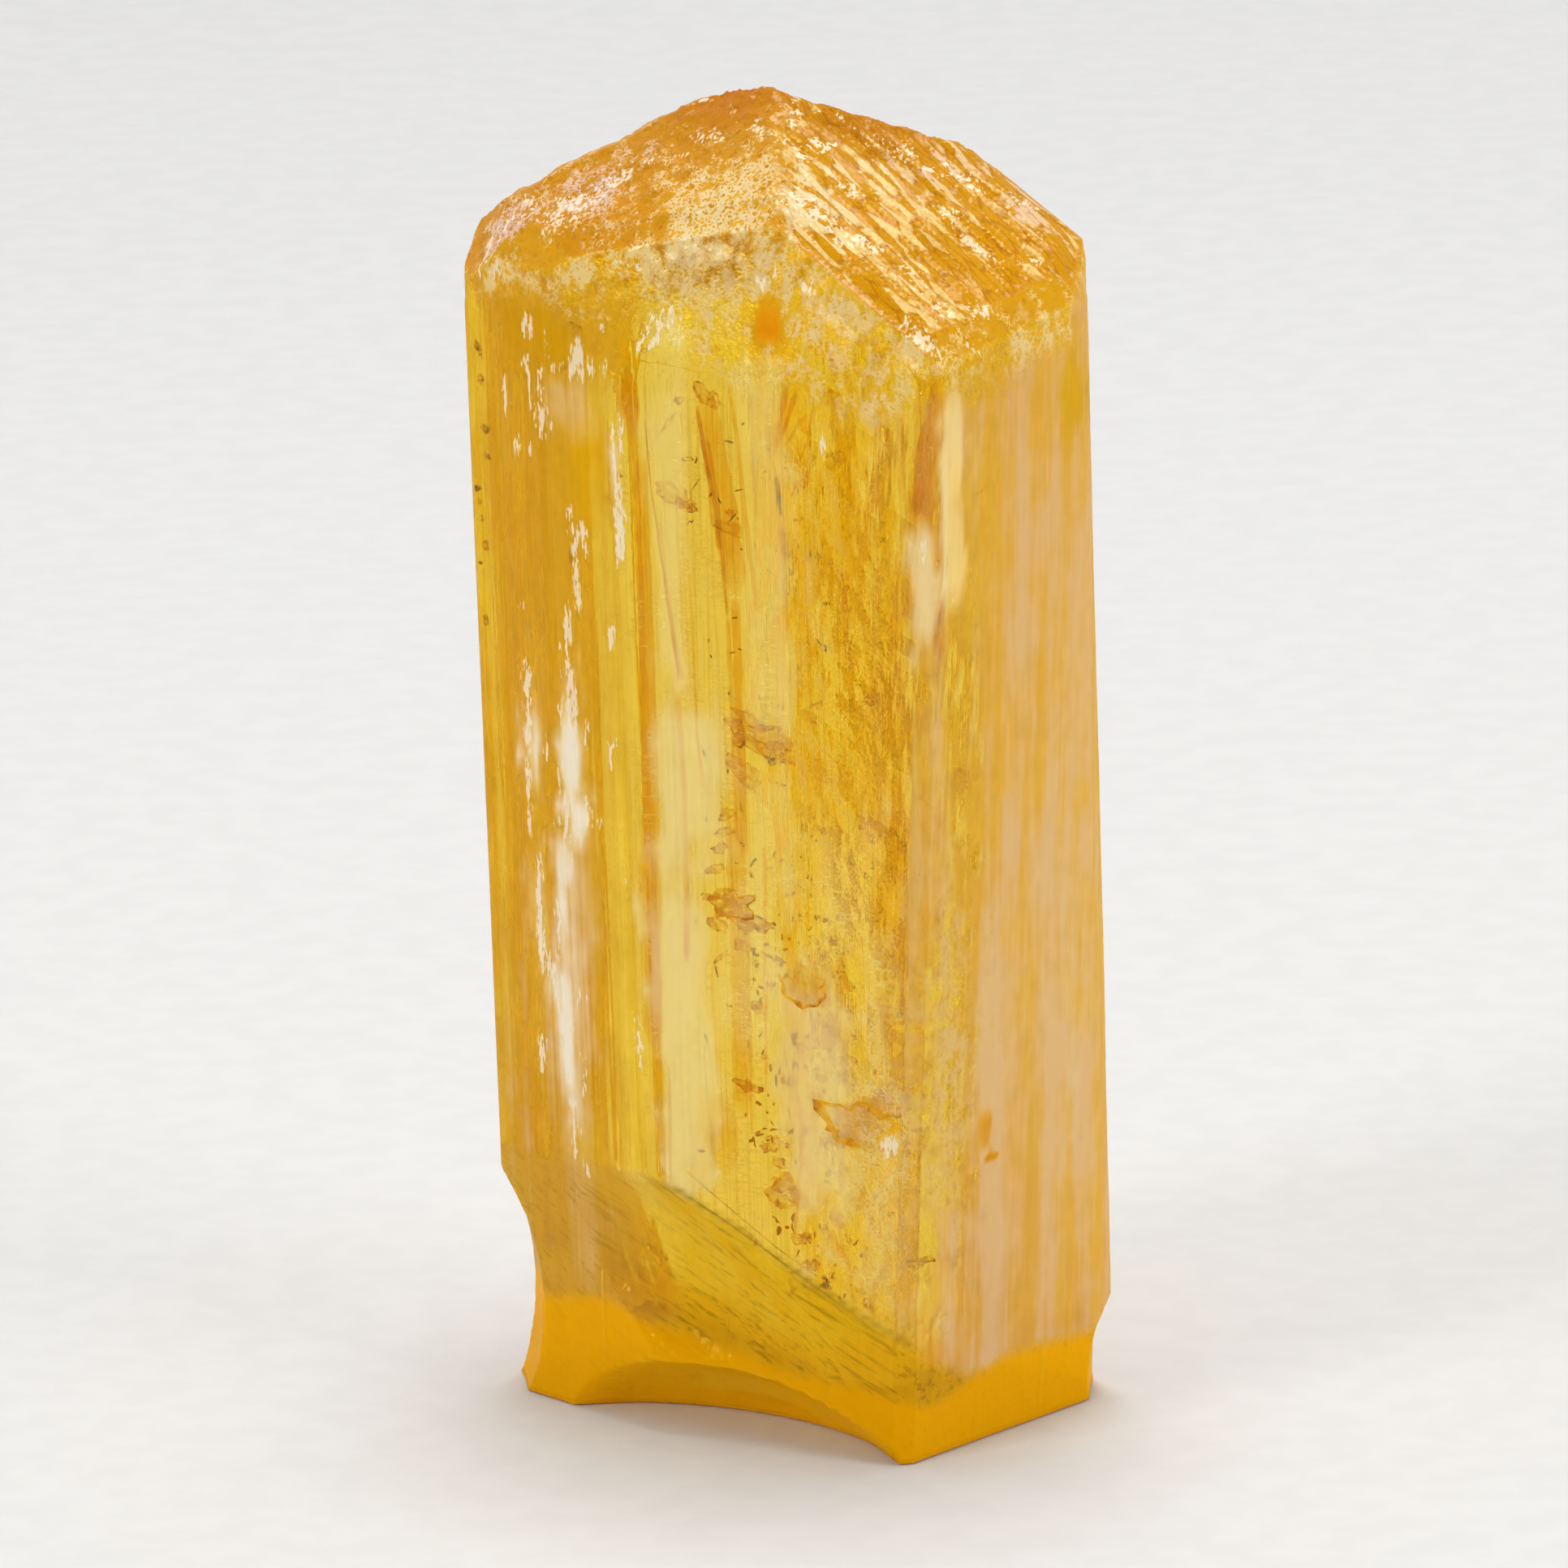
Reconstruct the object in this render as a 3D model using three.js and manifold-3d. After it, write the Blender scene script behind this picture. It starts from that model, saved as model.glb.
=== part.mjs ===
// A single crystal of imperial topaz: an eight-sided prism with a worn, etched roof on top and a
// broken foot. The prism stands on its flat basal cleavage, which is square to its long axis.
// Millimetres, +Z up along the long axis, the -Y side is the front.
// Every flat face is a plane that cuts a plain blank, given by the direction it looks in and its
// distance from the point where the axis leaves the base. Chips are shells scooped out of that.

import * as THREE from 'three';
import Module from 'manifold-3d';
import { mergeVertices } from 'three/addons/utils/BufferGeometryUtils.js';

// ---------------------------------------------------------------- driving dimensions

const BLANK_SIDE = 20;          // the blank that the faces are cut from
const BLANK_HEIGHT = 34;
const CUTTER_SIDE = 90;         // half-space cutters, far larger than the blank
const M_FACE_ANGLE = 27.85;     // prism faces of the form {110}, off the front
const L_FACE_ANGLE = 46.58;     // prism faces of the form {120}, off the front
const RIGHT_TAPER = -3.5;       // the right-hand prism faces widen downwards by this lean

// azimuth: degrees round from the front, positive to the right. rise: degrees above level.
const PRISM_FACES = {
  frontLeft: { azimuth: -M_FACE_ANGLE, rise: 0, distance: 3.84 },
  left: { azimuth: -L_FACE_ANGLE, rise: 0, distance: 4.1 },
  right: { azimuth: 43.5, rise: RIGHT_TAPER, distance: 5.61 },
  rightSide: { azimuth: 92, rise: 0, distance: 7.08 },
  backRight: { azimuth: 180 - L_FACE_ANGLE, rise: 0.8, distance: 4.75 },
  backLeft: { azimuth: L_FACE_ANGLE - 180, rise: 0, distance: 5.66 },
  backOne: { azimuth: 180 - M_FACE_ANGLE, rise: 0, distance: 5.22 },
  backTwo: { azimuth: M_FACE_ANGLE - 180, rise: 0, distance: 5.68 },
};

const ROOF_FACES = {
  roofLeft: { azimuth: -43.4, rise: 54, distance: 23.97 },
  roofRight: { azimuth: M_FACE_ANGLE, rise: 58, distance: 25.5 },
  frontBevel: { azimuth: -29.3, rise: 16, distance: 10.35 },
  roofBackRight: { azimuth: 160, rise: 40, distance: 19.5 },
  roofBackLeft: { azimuth: -150, rise: 46, distance: 22.35 },
  shoulderBack: { azimuth: 104, rise: 48, distance: 24.2 },
  shoulderRight: { azimuth: 66, rise: 24, distance: 17.5 },
  shoulderLeft: { azimuth: -70, rise: 30, distance: 17.78 },
};

// Worn edges: the pair of faces that meet there and how deep the corner is worn off.
const WORN_EDGES = [
  ['frontLeft', 'left', 0.03],
  ['frontLeft', 'right', 0.16],
  ['right', 'rightSide', 0.12],
  ['rightSide', 'backRight', 0.1],
  ['left', 'backLeft', 0.3],
  ['backLeft', 'backTwo', 0.12],
  ['backOne', 'backTwo', 0.2],
  ['backRight', 'backOne', 0.1],
  ['roofLeft', 'roofRight', 0.03],
  ['roofLeft', 'frontBevel', 0.12],
  ['roofRight', 'frontBevel', 0.14],
  ['frontBevel', 'frontLeft', 0.02],
  ['roofRight', 'right', 0.22],
  ['roofLeft', 'left', 0.25],
  ['roofRight', 'shoulderRight', 0.12],
  ['roofRight', 'shoulderBack', 0.1],
  ['roofLeft', 'shoulderLeft', 0.12],
  ['shoulderLeft', 'backLeft', 0.1],
  ['roofRight', 'roofBackRight', 0.1],
  ['roofLeft', 'roofBackLeft', 0.12],
  ['roofBackLeft', 'roofBackRight', 0.2],
];

// Bites: hollows that broke out. at: the deepest point, azimuth and rise: the way the hollow opens,
// slant: its long axis turned about that way, radii: half-axes along, across and deep.
const BITES = {
  waistLeft: {
    at: [-5.62, 1.0, 2.6], azimuth: -84, rise: -4, slant: 0, radii: [6, 4.8, 4],
  },
  waistFront: {
    at: [-1.7, -2.85, 3.7], azimuth: -36, rise: -5, slant: -27, radii: [10.5, 2.7, 2.4],
  },
  footFront: {
    at: [-0.3, -1.7, -1.2], azimuth: -33, rise: 0, slant: -4, radii: [5.2, 3, 3.0],
  },
  footRight: {
    at: [6.62, -0.4, 0.2], azimuth: 84, rise: 0, slant: 0, radii: [9, 2.3, 1.0],
  },
  footBack: {
    at: [1.4, 4.15, 0.1], azimuth: 148, rise: -10, slant: 8, radii: [4.2, 1.9, 1.6],
  },
  roofBackEdge: {
    at: [-1.9, 4.7, 25.1], azimuth: -166, rise: 40, slant: 14, radii: [3.2, 1.3, 1.6],
  },
};

// ---------------------------------------------------------------- helpers

const wasm = await Module();
wasm.setup();

/** The unit vector that looks round from the front by azimuth and up by rise, in degrees. */
function direction({ azimuth, rise }) {
  const round = THREE.MathUtils.degToRad(azimuth);
  const up = THREE.MathUtils.degToRad(rise);
  return new THREE.Vector3(
    Math.sin(round) * Math.cos(up),
    -Math.cos(round) * Math.cos(up),
    Math.sin(up),
  );
}

/** A closed three.js geometry as a solid that can be cut and joined. */
function toSolid(geometry) {
  const bare = geometry.clone();
  bare.deleteAttribute('normal');
  bare.deleteAttribute('uv');
  const merged = mergeVertices(bare, 1e-5);
  return new wasm.Manifold(new wasm.Mesh({
    numProp: 3,
    vertProperties: new Float32Array(merged.attributes.position.array),
    triVerts: new Uint32Array(merged.index.array),
  }));
}

/** A solid as a three.js geometry. */
function toGeometry(solid) {
  const mesh = solid.getMesh();
  const geometry = new THREE.BufferGeometry();
  geometry.setAttribute('position', new THREE.BufferAttribute(mesh.vertProperties, 3));
  geometry.setIndex(new THREE.BufferAttribute(mesh.triVerts, 1));
  return geometry;
}

/** Takes off everything that lies further along a face's normal than its distance. */
function cutFace(solid, normal, distance) {
  const cutter = new THREE.BoxGeometry(CUTTER_SIDE, CUTTER_SIDE, CUTTER_SIDE);
  const place = new THREE.Matrix4().makeRotationFromQuaternion(
    new THREE.Quaternion().setFromUnitVectors(new THREE.Vector3(0, 0, 1), normal),
  );
  place.setPosition(normal.clone().multiplyScalar(distance + CUTTER_SIDE / 2));
  cutter.applyMatrix4(place);
  return solid.subtract(toSolid(cutter));
}

/** Wears off the edge between two faces by a plane that lies evenly across it. */
function wearEdge(solid, faces, [first, second, depth]) {
  const normal = direction(faces[first]).add(direction(faces[second]));
  const length = normal.length();
  const distance = (faces[first].distance + faces[second].distance) / length - depth;
  return cutFace(solid, normal.normalize(), distance);
}

/** Takes a hollow out of the solid: an ellipsoid that touches bottom at a point. */
function bite(solid, { at, azimuth, rise, slant, radii: [along, across, deep] }) {
  const opens = direction({ azimuth, rise });
  const level = direction({ azimuth: azimuth + 90, rise: 0 });
  const axes = new THREE.Matrix4().makeBasis(level, opens.clone().cross(level), opens);
  const hollow = new THREE.SphereGeometry(1, 56, 36);
  hollow.scale(along, across, deep);
  hollow.rotateZ(THREE.MathUtils.degToRad(slant));
  hollow.applyMatrix4(axes.setPosition(new THREE.Vector3(...at).addScaledVector(opens, deep)));
  return solid.subtract(toSolid(hollow));
}

// ---------------------------------------------------------------- the crystal

function growCrystal() {
  const blank = new THREE.BoxGeometry(BLANK_SIDE, BLANK_SIDE, BLANK_HEIGHT);
  blank.translate(0, 0, BLANK_HEIGHT / 2);
  const faces = { ...PRISM_FACES, ...ROOF_FACES };
  let solid = toSolid(blank);
  for (const face of Object.values(faces)) {
    solid = cutFace(solid, direction(face), face.distance);
  }
  for (const edge of WORN_EDGES) {
    solid = wearEdge(solid, faces, edge);
  }
  for (const hollow of Object.values(BITES)) {
    solid = bite(solid, hollow);
  }
  return solid;
}

/** Moves the geometry so that the middle of its footprint box is the origin. */
function centreOnBase(geometry) {
  geometry.computeBoundingBox();
  const { min, max } = geometry.boundingBox;
  geometry.translate(-(min.x + max.x) / 2, -(min.y + max.y) / 2, -min.z);
}

const crystalGeometry = toGeometry(growCrystal());
centreOnBase(crystalGeometry);
crystalGeometry.computeVertexNormals();

const crystalMaterial = new THREE.MeshStandardMaterial({
  color: 0xe8a41c,
  roughness: 0.2,
  metalness: 0,
  flatShading: true,
});

const crystal = new THREE.Mesh(crystalGeometry, crystalMaterial);
crystal.name = 'topaz_crystal';

const part = new THREE.Group();
part.add(crystal);

export default part;
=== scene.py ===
"""A golden topaz crystal: a clear, striated prism with an etched roof and a broken foot.

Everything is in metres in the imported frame: +Z up the long axis, -Y the front.
Shapes are worked out in millimetres and turned into metres when a mesh is made.
"""

import logging
import math
from collections.abc import Callable, Mapping, Sequence
from dataclasses import dataclass, field, fields

import bmesh
import bpy
import numpy as np
from mathutils import Matrix, Vector, geometry, noise
from mathutils.bvhtree import BVHTree


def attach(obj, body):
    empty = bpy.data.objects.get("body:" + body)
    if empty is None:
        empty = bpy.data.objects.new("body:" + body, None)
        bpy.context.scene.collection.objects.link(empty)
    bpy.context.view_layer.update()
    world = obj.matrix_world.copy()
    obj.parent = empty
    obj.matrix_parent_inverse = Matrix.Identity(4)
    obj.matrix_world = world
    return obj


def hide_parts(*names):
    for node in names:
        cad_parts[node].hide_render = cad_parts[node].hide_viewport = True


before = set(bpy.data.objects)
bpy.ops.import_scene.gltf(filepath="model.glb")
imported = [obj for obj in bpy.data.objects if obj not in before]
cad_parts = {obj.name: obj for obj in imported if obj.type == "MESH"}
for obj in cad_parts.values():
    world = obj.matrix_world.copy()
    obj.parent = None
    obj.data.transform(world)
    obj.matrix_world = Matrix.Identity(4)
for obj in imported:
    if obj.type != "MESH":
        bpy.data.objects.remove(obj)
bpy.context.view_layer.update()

MM = 0.001
NODE = "topaz_crystal"
BODY = "root"
MIDDLE_HEIGHT = 15.0  # halfway up the crystal, in mm
ETCH_TURN = math.radians(-43.0)  # direction of the ridges on the roof, in plan
IOR = 1.62  # topaz

Triple = tuple[float, float, float]
Colour = Triple

log = logging.getLogger("topaz")


# ---------------- shader arithmetic


class Wire:
    """A node's number output that can be used in plain arithmetic."""

    def __init__(self, sheet: "NodeSheet", socket: bpy.types.NodeSocket) -> None:
        """Args: sheet: where new Math nodes go. socket: the output that carries the number."""
        self.sheet = sheet
        self.socket = socket

    def _math(self, operation: str, *operands: object) -> "Wire":
        """A Math node on the operands. Args: operation: its kind. Returns: its output."""
        inputs = dict(enumerate(operands))
        made = self.sheet.node("ShaderNodeMath", inputs, operation=operation)
        return Wire(self.sheet, made.outputs[0])

    def __add__(self, other: object) -> "Wire":
        """self + other."""
        return self._math("ADD", self, other)

    def __radd__(self, other: object) -> "Wire":
        """other + self."""
        return self._math("ADD", other, self)

    def __sub__(self, other: object) -> "Wire":
        """self - other."""
        return self._math("SUBTRACT", self, other)

    def __rsub__(self, other: object) -> "Wire":
        """other - self."""
        return self._math("SUBTRACT", other, self)

    def __mul__(self, other: object) -> "Wire":
        """self * other."""
        return self._math("MULTIPLY", self, other)

    def __rmul__(self, other: object) -> "Wire":
        """other * self."""
        return self._math("MULTIPLY", other, self)

    def at_most(self, other: object) -> "Wire":
        """The smaller of the two."""
        return self._math("MINIMUM", self, other)

    def at_least(self, other: object) -> "Wire":
        """The larger of the two."""
        return self._math("MAXIMUM", self, other)

    def swing(self, gain: float) -> "Wire":
        """Turns noise round 0.5 into a swing round 0. Args: gain: its size. Returns: it."""
        return (self - 0.5) * gain

    def ramp(self, low: float, high: float) -> "Wire":
        """A soft step. Args: low: where it is 0. high: where it is 1. Returns: 0 to 1."""
        inputs = {"Value": self, "From Min": low, "From Max": high}
        made = self.sheet.node("ShaderNodeMapRange", inputs, interpolation_type="SMOOTHSTEP")
        return Wire(self.sheet, made.outputs["Result"])


class NodeSheet:
    """Lays out the nodes of one node tree."""

    def __init__(self, tree: bpy.types.NodeTree) -> None:
        """Args: tree: the tree, which is emptied first."""
        self.tree = tree
        tree.nodes.clear()

    def feed(self, socket: bpy.types.NodeSocket, value: object) -> None:
        """Links or sets an input.

        Args:
            socket: the input.
            value: a Wire, an output or a plain value.
        """
        if isinstance(value, Wire):
            value = value.socket
        if isinstance(value, bpy.types.NodeSocket):
            self.tree.links.new(value, socket)
        elif socket.type == "RGBA" and len(value) == 3:
            socket.default_value = (*value, 1.0)
        else:
            socket.default_value = value

    def node(
        self, kind: str, inputs: Mapping[str | int, object] | None = None, **settings: object
    ) -> bpy.types.Node:
        """Adds a node.

        Args:
            kind: the node's type.
            inputs: values or links, by socket name or number.
            settings: its own settings, set first; stops are a colour ramp's.

        Returns:
            The node.
        """
        made = self.tree.nodes.new(kind)
        for name, value in settings.items():
            if name == "stops":
                self._set_stops(made.color_ramp, value)
            else:
                setattr(made, name, value)
        for key, value in (inputs or {}).items():
            self.feed(made.inputs[key], value)
        return made

    @staticmethod
    def _set_stops(ramp: bpy.types.ColorRamp, stops: Sequence[tuple[float, Triple]]) -> None:
        """Gives a ramp its stops. Args: ramp: the ramp. stops: place and colour of each."""
        while len(ramp.elements) < len(stops):
            ramp.elements.new(1.0)
        for element, (place, colour) in zip(ramp.elements, stops):
            element.position = place
            element.color = (*colour, 1.0)

    def attribute(self, name: str) -> Wire:
        """A point attribute of the piece. Args: name: its name. Returns: its number."""
        made = self.node("ShaderNodeAttribute", attribute_name=name)
        return Wire(self, made.outputs["Fac"])

    def colour(self, name: str) -> object:
        """A colour attribute of the piece. Args: name: its name. Returns: the output."""
        return self.node("ShaderNodeAttribute", attribute_name=name).outputs["Color"]

    def place(self, size: Triple, turn: Triple = (0.0, 0.0, 0.0)) -> object:
        """Object coordinates counted in cells.

        Args:
            size: a cell's size in mm along each axis.
            turn: the axes' turns about X, Y and Z in radians.

        Returns:
            The output.
        """
        here = self.node("ShaderNodeTexCoord").outputs["Object"]
        scale = tuple(MM * s for s in size)
        inputs = {"Vector": here, "Rotation": turn, "Scale": scale}
        return self.node("ShaderNodeMapping", inputs, vector_type="TEXTURE").outputs[0]

    def grain(
        self, size: Triple, detail: float = 2.0, rough: float = 0.5, turn: Triple = (0.0, 0.0, 0.0)
    ) -> Wire:
        """Noise on object coordinates.

        Args:
            size: a cell's size in mm along each axis.
            detail: octaves.
            rough: how much the finer octaves count.
            turn: the axes' turns in radians.

        Returns:
            The noise, mostly 0.3 to 0.7.
        """
        place = self.place(size, turn)
        inputs = {"Vector": place, "Scale": 1.0, "Detail": detail, "Roughness": rough}
        return Wire(self, self.node("ShaderNodeTexNoise", inputs).outputs["Fac"])

    def vector(self, operation: str, *operands: object) -> object:
        """A vector sum. Args: operation: its kind. operands: its inputs. Returns: the output."""
        inputs = dict(enumerate(operands))
        return self.node("ShaderNodeVectorMath", inputs, operation=operation).outputs[0]

    def scaled(self, vector: object, by: object) -> object:
        """A vector times a number. Args: vector, by: both. Returns: the output."""
        inputs = {0: vector, "Scale": by}
        return self.node("ShaderNodeVectorMath", inputs, operation="SCALE").outputs[0]

    def shards(self, size: tuple[float, float], turn: float, warp: float) -> tuple[Wire, Wire]:
        """Angular cells in plan, with crooked edges.

        Args:
            size: a cell's length and width in mm.
            turn: the length's direction in radians.
            warp: how crooked the edges are, in cells.

        Returns:
            A number for each cell, 0 to 1, and how far its edge is.
        """
        place = self.place((*size, 1000.0), (0.0, 0.0, turn))
        bend = self.node("ShaderNodeTexNoise", {"Vector": place, "Scale": 1.3, "Detail": 2.0})
        centred = self.vector("SUBTRACT", bend.outputs["Color"], (0.5, 0.5, 0.5))
        bent = self.vector("MULTIPLY_ADD", centred, (warp, warp, 0.0), place)
        flat = {"Vector": bent, "Scale": 1.0}
        kind = "ShaderNodeTexVoronoi"
        cell = self.node(kind, flat, voronoi_dimensions="2D")
        parts = self.node("ShaderNodeSeparateColor", {0: cell.outputs["Color"]})
        edge = self.node(kind, flat, voronoi_dimensions="2D", feature="DISTANCE_TO_EDGE")
        return Wire(self, parts.outputs[0]), Wire(self, edge.outputs["Distance"])

    def mix_shader(self, factor: object, first: object, second: object) -> bpy.types.Node:
        """Mixes two shaders. Args: factor: share of the second. Returns: the node."""
        inputs = {0: factor, 1: first.outputs[0], 2: second.outputs[0]}
        return self.node("ShaderNodeMixShader", inputs)

    def mix_colour(self, factor: object, first: object, second: object) -> object:
        """Mixes two colours. Args: factor: share of the second. Returns: the output."""
        inputs = {0: factor, 6: first, 7: second}
        return self.node("ShaderNodeMix", inputs, data_type="RGBA").outputs[2]

    def finish(self, surface: bpy.types.Node, volume: bpy.types.Node | None = None) -> None:
        """Hands the shaders to the material. Args: surface, volume: their nodes."""
        out = self.node("ShaderNodeOutputMaterial", {"Surface": surface.outputs[0]})
        if volume is not None:
            self.feed(out.inputs["Volume"], volume.outputs[0])


def new_material(name: str) -> tuple[bpy.types.Material, NodeSheet]:
    """An empty node material. Args: name: its name. Returns: it and its sheet."""
    material = bpy.data.materials.new(name)
    material.use_nodes = True
    return material, NodeSheet(material.node_tree)


# ---------------- camera, floor and light


@dataclass(frozen=True)
class Viewpoint:
    """The camera: far off with a long lens, above the crystal's middle and turned slightly.

    Metres and radians; the lens and the sensor in mm.
    """

    target: Triple = (-0.17 * MM, 0.0, 14.12 * MM)
    distance: float = 0.3
    elevation: float = math.radians(17.0)
    roll: float = math.radians(2.06)
    lens: float = 311.93
    sensor: float = 36.0
    clip: tuple[float, float] = (0.01, 10.0)

    def axes(self) -> tuple[Vector, Vector, Vector]:
        """The camera's own axes. Returns: to its right, up, and back from what it looks at."""
        back = Vector((0.0, -math.cos(self.elevation), math.sin(self.elevation)))
        right = Vector((1.0, 0.0, 0.0))
        up = back.cross(right)
        turned_right = right * math.cos(self.roll) - up * math.sin(self.roll)
        turned_up = up * math.cos(self.roll) + right * math.sin(self.roll)
        return turned_right, turned_up, back

    def build(self) -> bpy.types.Object:
        """Makes the camera and hands it to the scene. Returns: the camera."""
        right, up, back = self.axes()
        data = bpy.data.cameras.new("camera")
        data.lens = self.lens
        data.sensor_width = self.sensor
        data.clip_start, data.clip_end = self.clip
        camera = bpy.data.objects.new("camera", data)
        turn = Matrix((right, up, back)).transposed()
        place = Matrix.Translation(Vector(self.target) + back * self.distance)
        camera.matrix_world = place @ turn.to_4x4()
        bpy.context.scene.collection.objects.link(camera)
        bpy.context.scene.camera = camera
        return camera


@dataclass(frozen=True)
class Softbox:
    """A large square lamp that looks at the crystal's middle."""

    name: str
    place: Triple
    side: float
    power: float
    colour: Triple = (1.0, 1.0, 1.0)

    def build(self) -> bpy.types.Object:
        """Makes the lamp. Returns: its object."""
        data = bpy.data.lights.new(self.name, "AREA")
        data.shape = "SQUARE"
        data.size = self.side
        data.energy = self.power
        data.color = self.colour
        lamp = bpy.data.objects.new(self.name, data)
        lamp.location = self.place
        aim = Vector((0.0, 0.0, MIDDLE_HEIGHT * MM)) - Vector(self.place)
        lamp.rotation_euler = aim.to_track_quat("-Z", "Y").to_euler()
        bpy.context.scene.collection.objects.link(lamp)
        return lamp


# how often light is followed on, and how soon a clean pixel is left alone
LIGHT_PATHS: dict[str, float] = {
    "max_bounces": 8,
    "diffuse_bounces": 2,
    "glossy_bounces": 6,
    "transmission_bounces": 8,
    "transparent_max_bounces": 8,
    "caustics_reflective": True,
    "caustics_refractive": True,
    "blur_glossy": 0.5,
    "adaptive_threshold": 0.15,
}


@dataclass(frozen=True)
class Studio:
    """A pale floor, an even pale surround and soft lamps."""

    floor_radius: float = 0.35
    floor_sides: int = 96
    floor_gap: float = 0.00004
    floor_colour: Triple = (0.72, 0.715, 0.7)
    horizon: Triple = (0.8, 0.795, 0.78)
    zenith: Triple = (0.62, 0.62, 0.63)
    front_shade: float = 0.38
    lamps: tuple[Softbox, ...] = (
        Softbox("lamp_top", (0.02, 0.04, 0.36), 0.13, 0.68),
        Softbox("lamp_left", (-0.3, -0.2, 0.22), 0.12, 0.5),
        Softbox("lamp_right", (0.34, -0.2, 0.14), 0.2, 0.6),
    )

    def build(self) -> None:
        """Makes the floor, the surround and the lamps, and sets how light is followed."""
        self._floor()
        self._surround()
        for lamp in self.lamps:
            lamp.build()
        for name, value in LIGHT_PATHS.items():
            setattr(bpy.context.scene.cycles, name, value)
        bpy.context.scene.view_settings.view_transform = "Standard"

    def _floor(self) -> None:
        """Makes the floor, a hair under the crystal's flat base."""
        material, sheet = new_material("pale_floor")
        speck = sheet.grain((1.1, 1.1, 1.1), 3.0)
        shade = tuple(0.97 * c for c in self.floor_colour)
        colour = sheet.mix_colour(speck.ramp(0.35, 0.65), shade, self.floor_colour)
        inputs = {"Base Color": colour, "Roughness": 0.7, "Specular IOR Level": 0.2}
        sheet.finish(sheet.node("ShaderNodeBsdfPrincipled", inputs))
        mesh = bpy.data.meshes.new("floor")
        radius, sides = self.floor_radius, self.floor_sides
        turn = [2 * math.pi * i / sides for i in range(sides)]
        ring = [(radius * math.cos(a), radius * math.sin(a), -self.floor_gap) for a in turn]
        mesh.from_pydata(ring, [], [list(range(sides))])
        mesh.materials.append(material)
        floor = bpy.data.objects.new("floor", mesh)
        bpy.context.scene.collection.objects.link(floor)

    def _surround(self) -> None:
        """Makes the surround: bright at the level of the eye, softer overhead."""
        world = bpy.data.worlds.new("surround")
        world.use_nodes = True
        sheet = NodeSheet(world.node_tree)
        place = sheet.node("ShaderNodeTexCoord").outputs["Generated"]
        split = sheet.node("ShaderNodeSeparateXYZ", {0: place})
        height = Wire(sheet, split.outputs["Z"])
        colour = sheet.mix_colour(height.ramp(0.05, 0.85), self.horizon, self.zenith)
        depth = Wire(sheet, split.outputs["Y"])
        strength = self.front_shade + depth.ramp(-0.75, 0.25) * (1.0 - self.front_shade)
        glow = sheet.node("ShaderNodeBackground", {"Color": colour, "Strength": strength})
        sheet.node("ShaderNodeOutputWorld", {"Surface": glow.outputs[0]})
        bpy.context.scene.world = world


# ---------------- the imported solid, as the camera sees it


def solid_tree() -> BVHTree:
    """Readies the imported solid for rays. Returns: its tree, in mm."""
    copy = bmesh.new()
    copy.from_mesh(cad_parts[NODE].data)
    bmesh.ops.remove_doubles(copy, verts=copy.verts, dist=1e-8)
    bmesh.ops.scale(copy, vec=(1000, 1000, 1000), verts=copy.verts)
    tree = BVHTree.FromBMesh(copy)
    copy.free()
    return tree


SOLID = solid_tree()
ABOVE = 50.0  # mm, well over the crystal's top
DOWN = Vector((0, 0, -1))


@dataclass(frozen=True)
class Sight:
    """Finds the place that the camera sees at a pixel, on the crystal's skin or sealed under it."""

    view: Viewpoint = Viewpoint()
    middle: float = 966.0  # of the picture, in pixels both ways
    reach: float = 16740.0  # the lens's focal length in pixels

    def place(self, x: float, y: float, depth: float = 0.0) -> Triple:
        """Follows a pixel's sight line.

        Args:
            x, y: the pixel, from the picture's upper left corner.
            depth: how far past the skin, in mm along the bent line.

        Returns:
            The place in mm, to a hundredth.
        """
        right, up, back = self.view.axes()
        line = (right * (x - self.middle) - up * (y - self.middle)) / self.reach - back
        line.normalize()
        eye = (Vector(self.view.target) + back * self.view.distance) / MM
        hit, normal, _, _ = SOLID.ray_cast(eye, line)
        if depth:
            slant = -line.dot(normal)
            inward = math.sqrt(1.0 - (1.0 - slant**2) / IOR**2) - slant / IOR
            hit = hit + (line / IOR - normal * inward) * depth
        return tuple(round(value, 2) for value in hit)


SIGHT = Sight()


# ---------------- the crystal's surface


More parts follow.
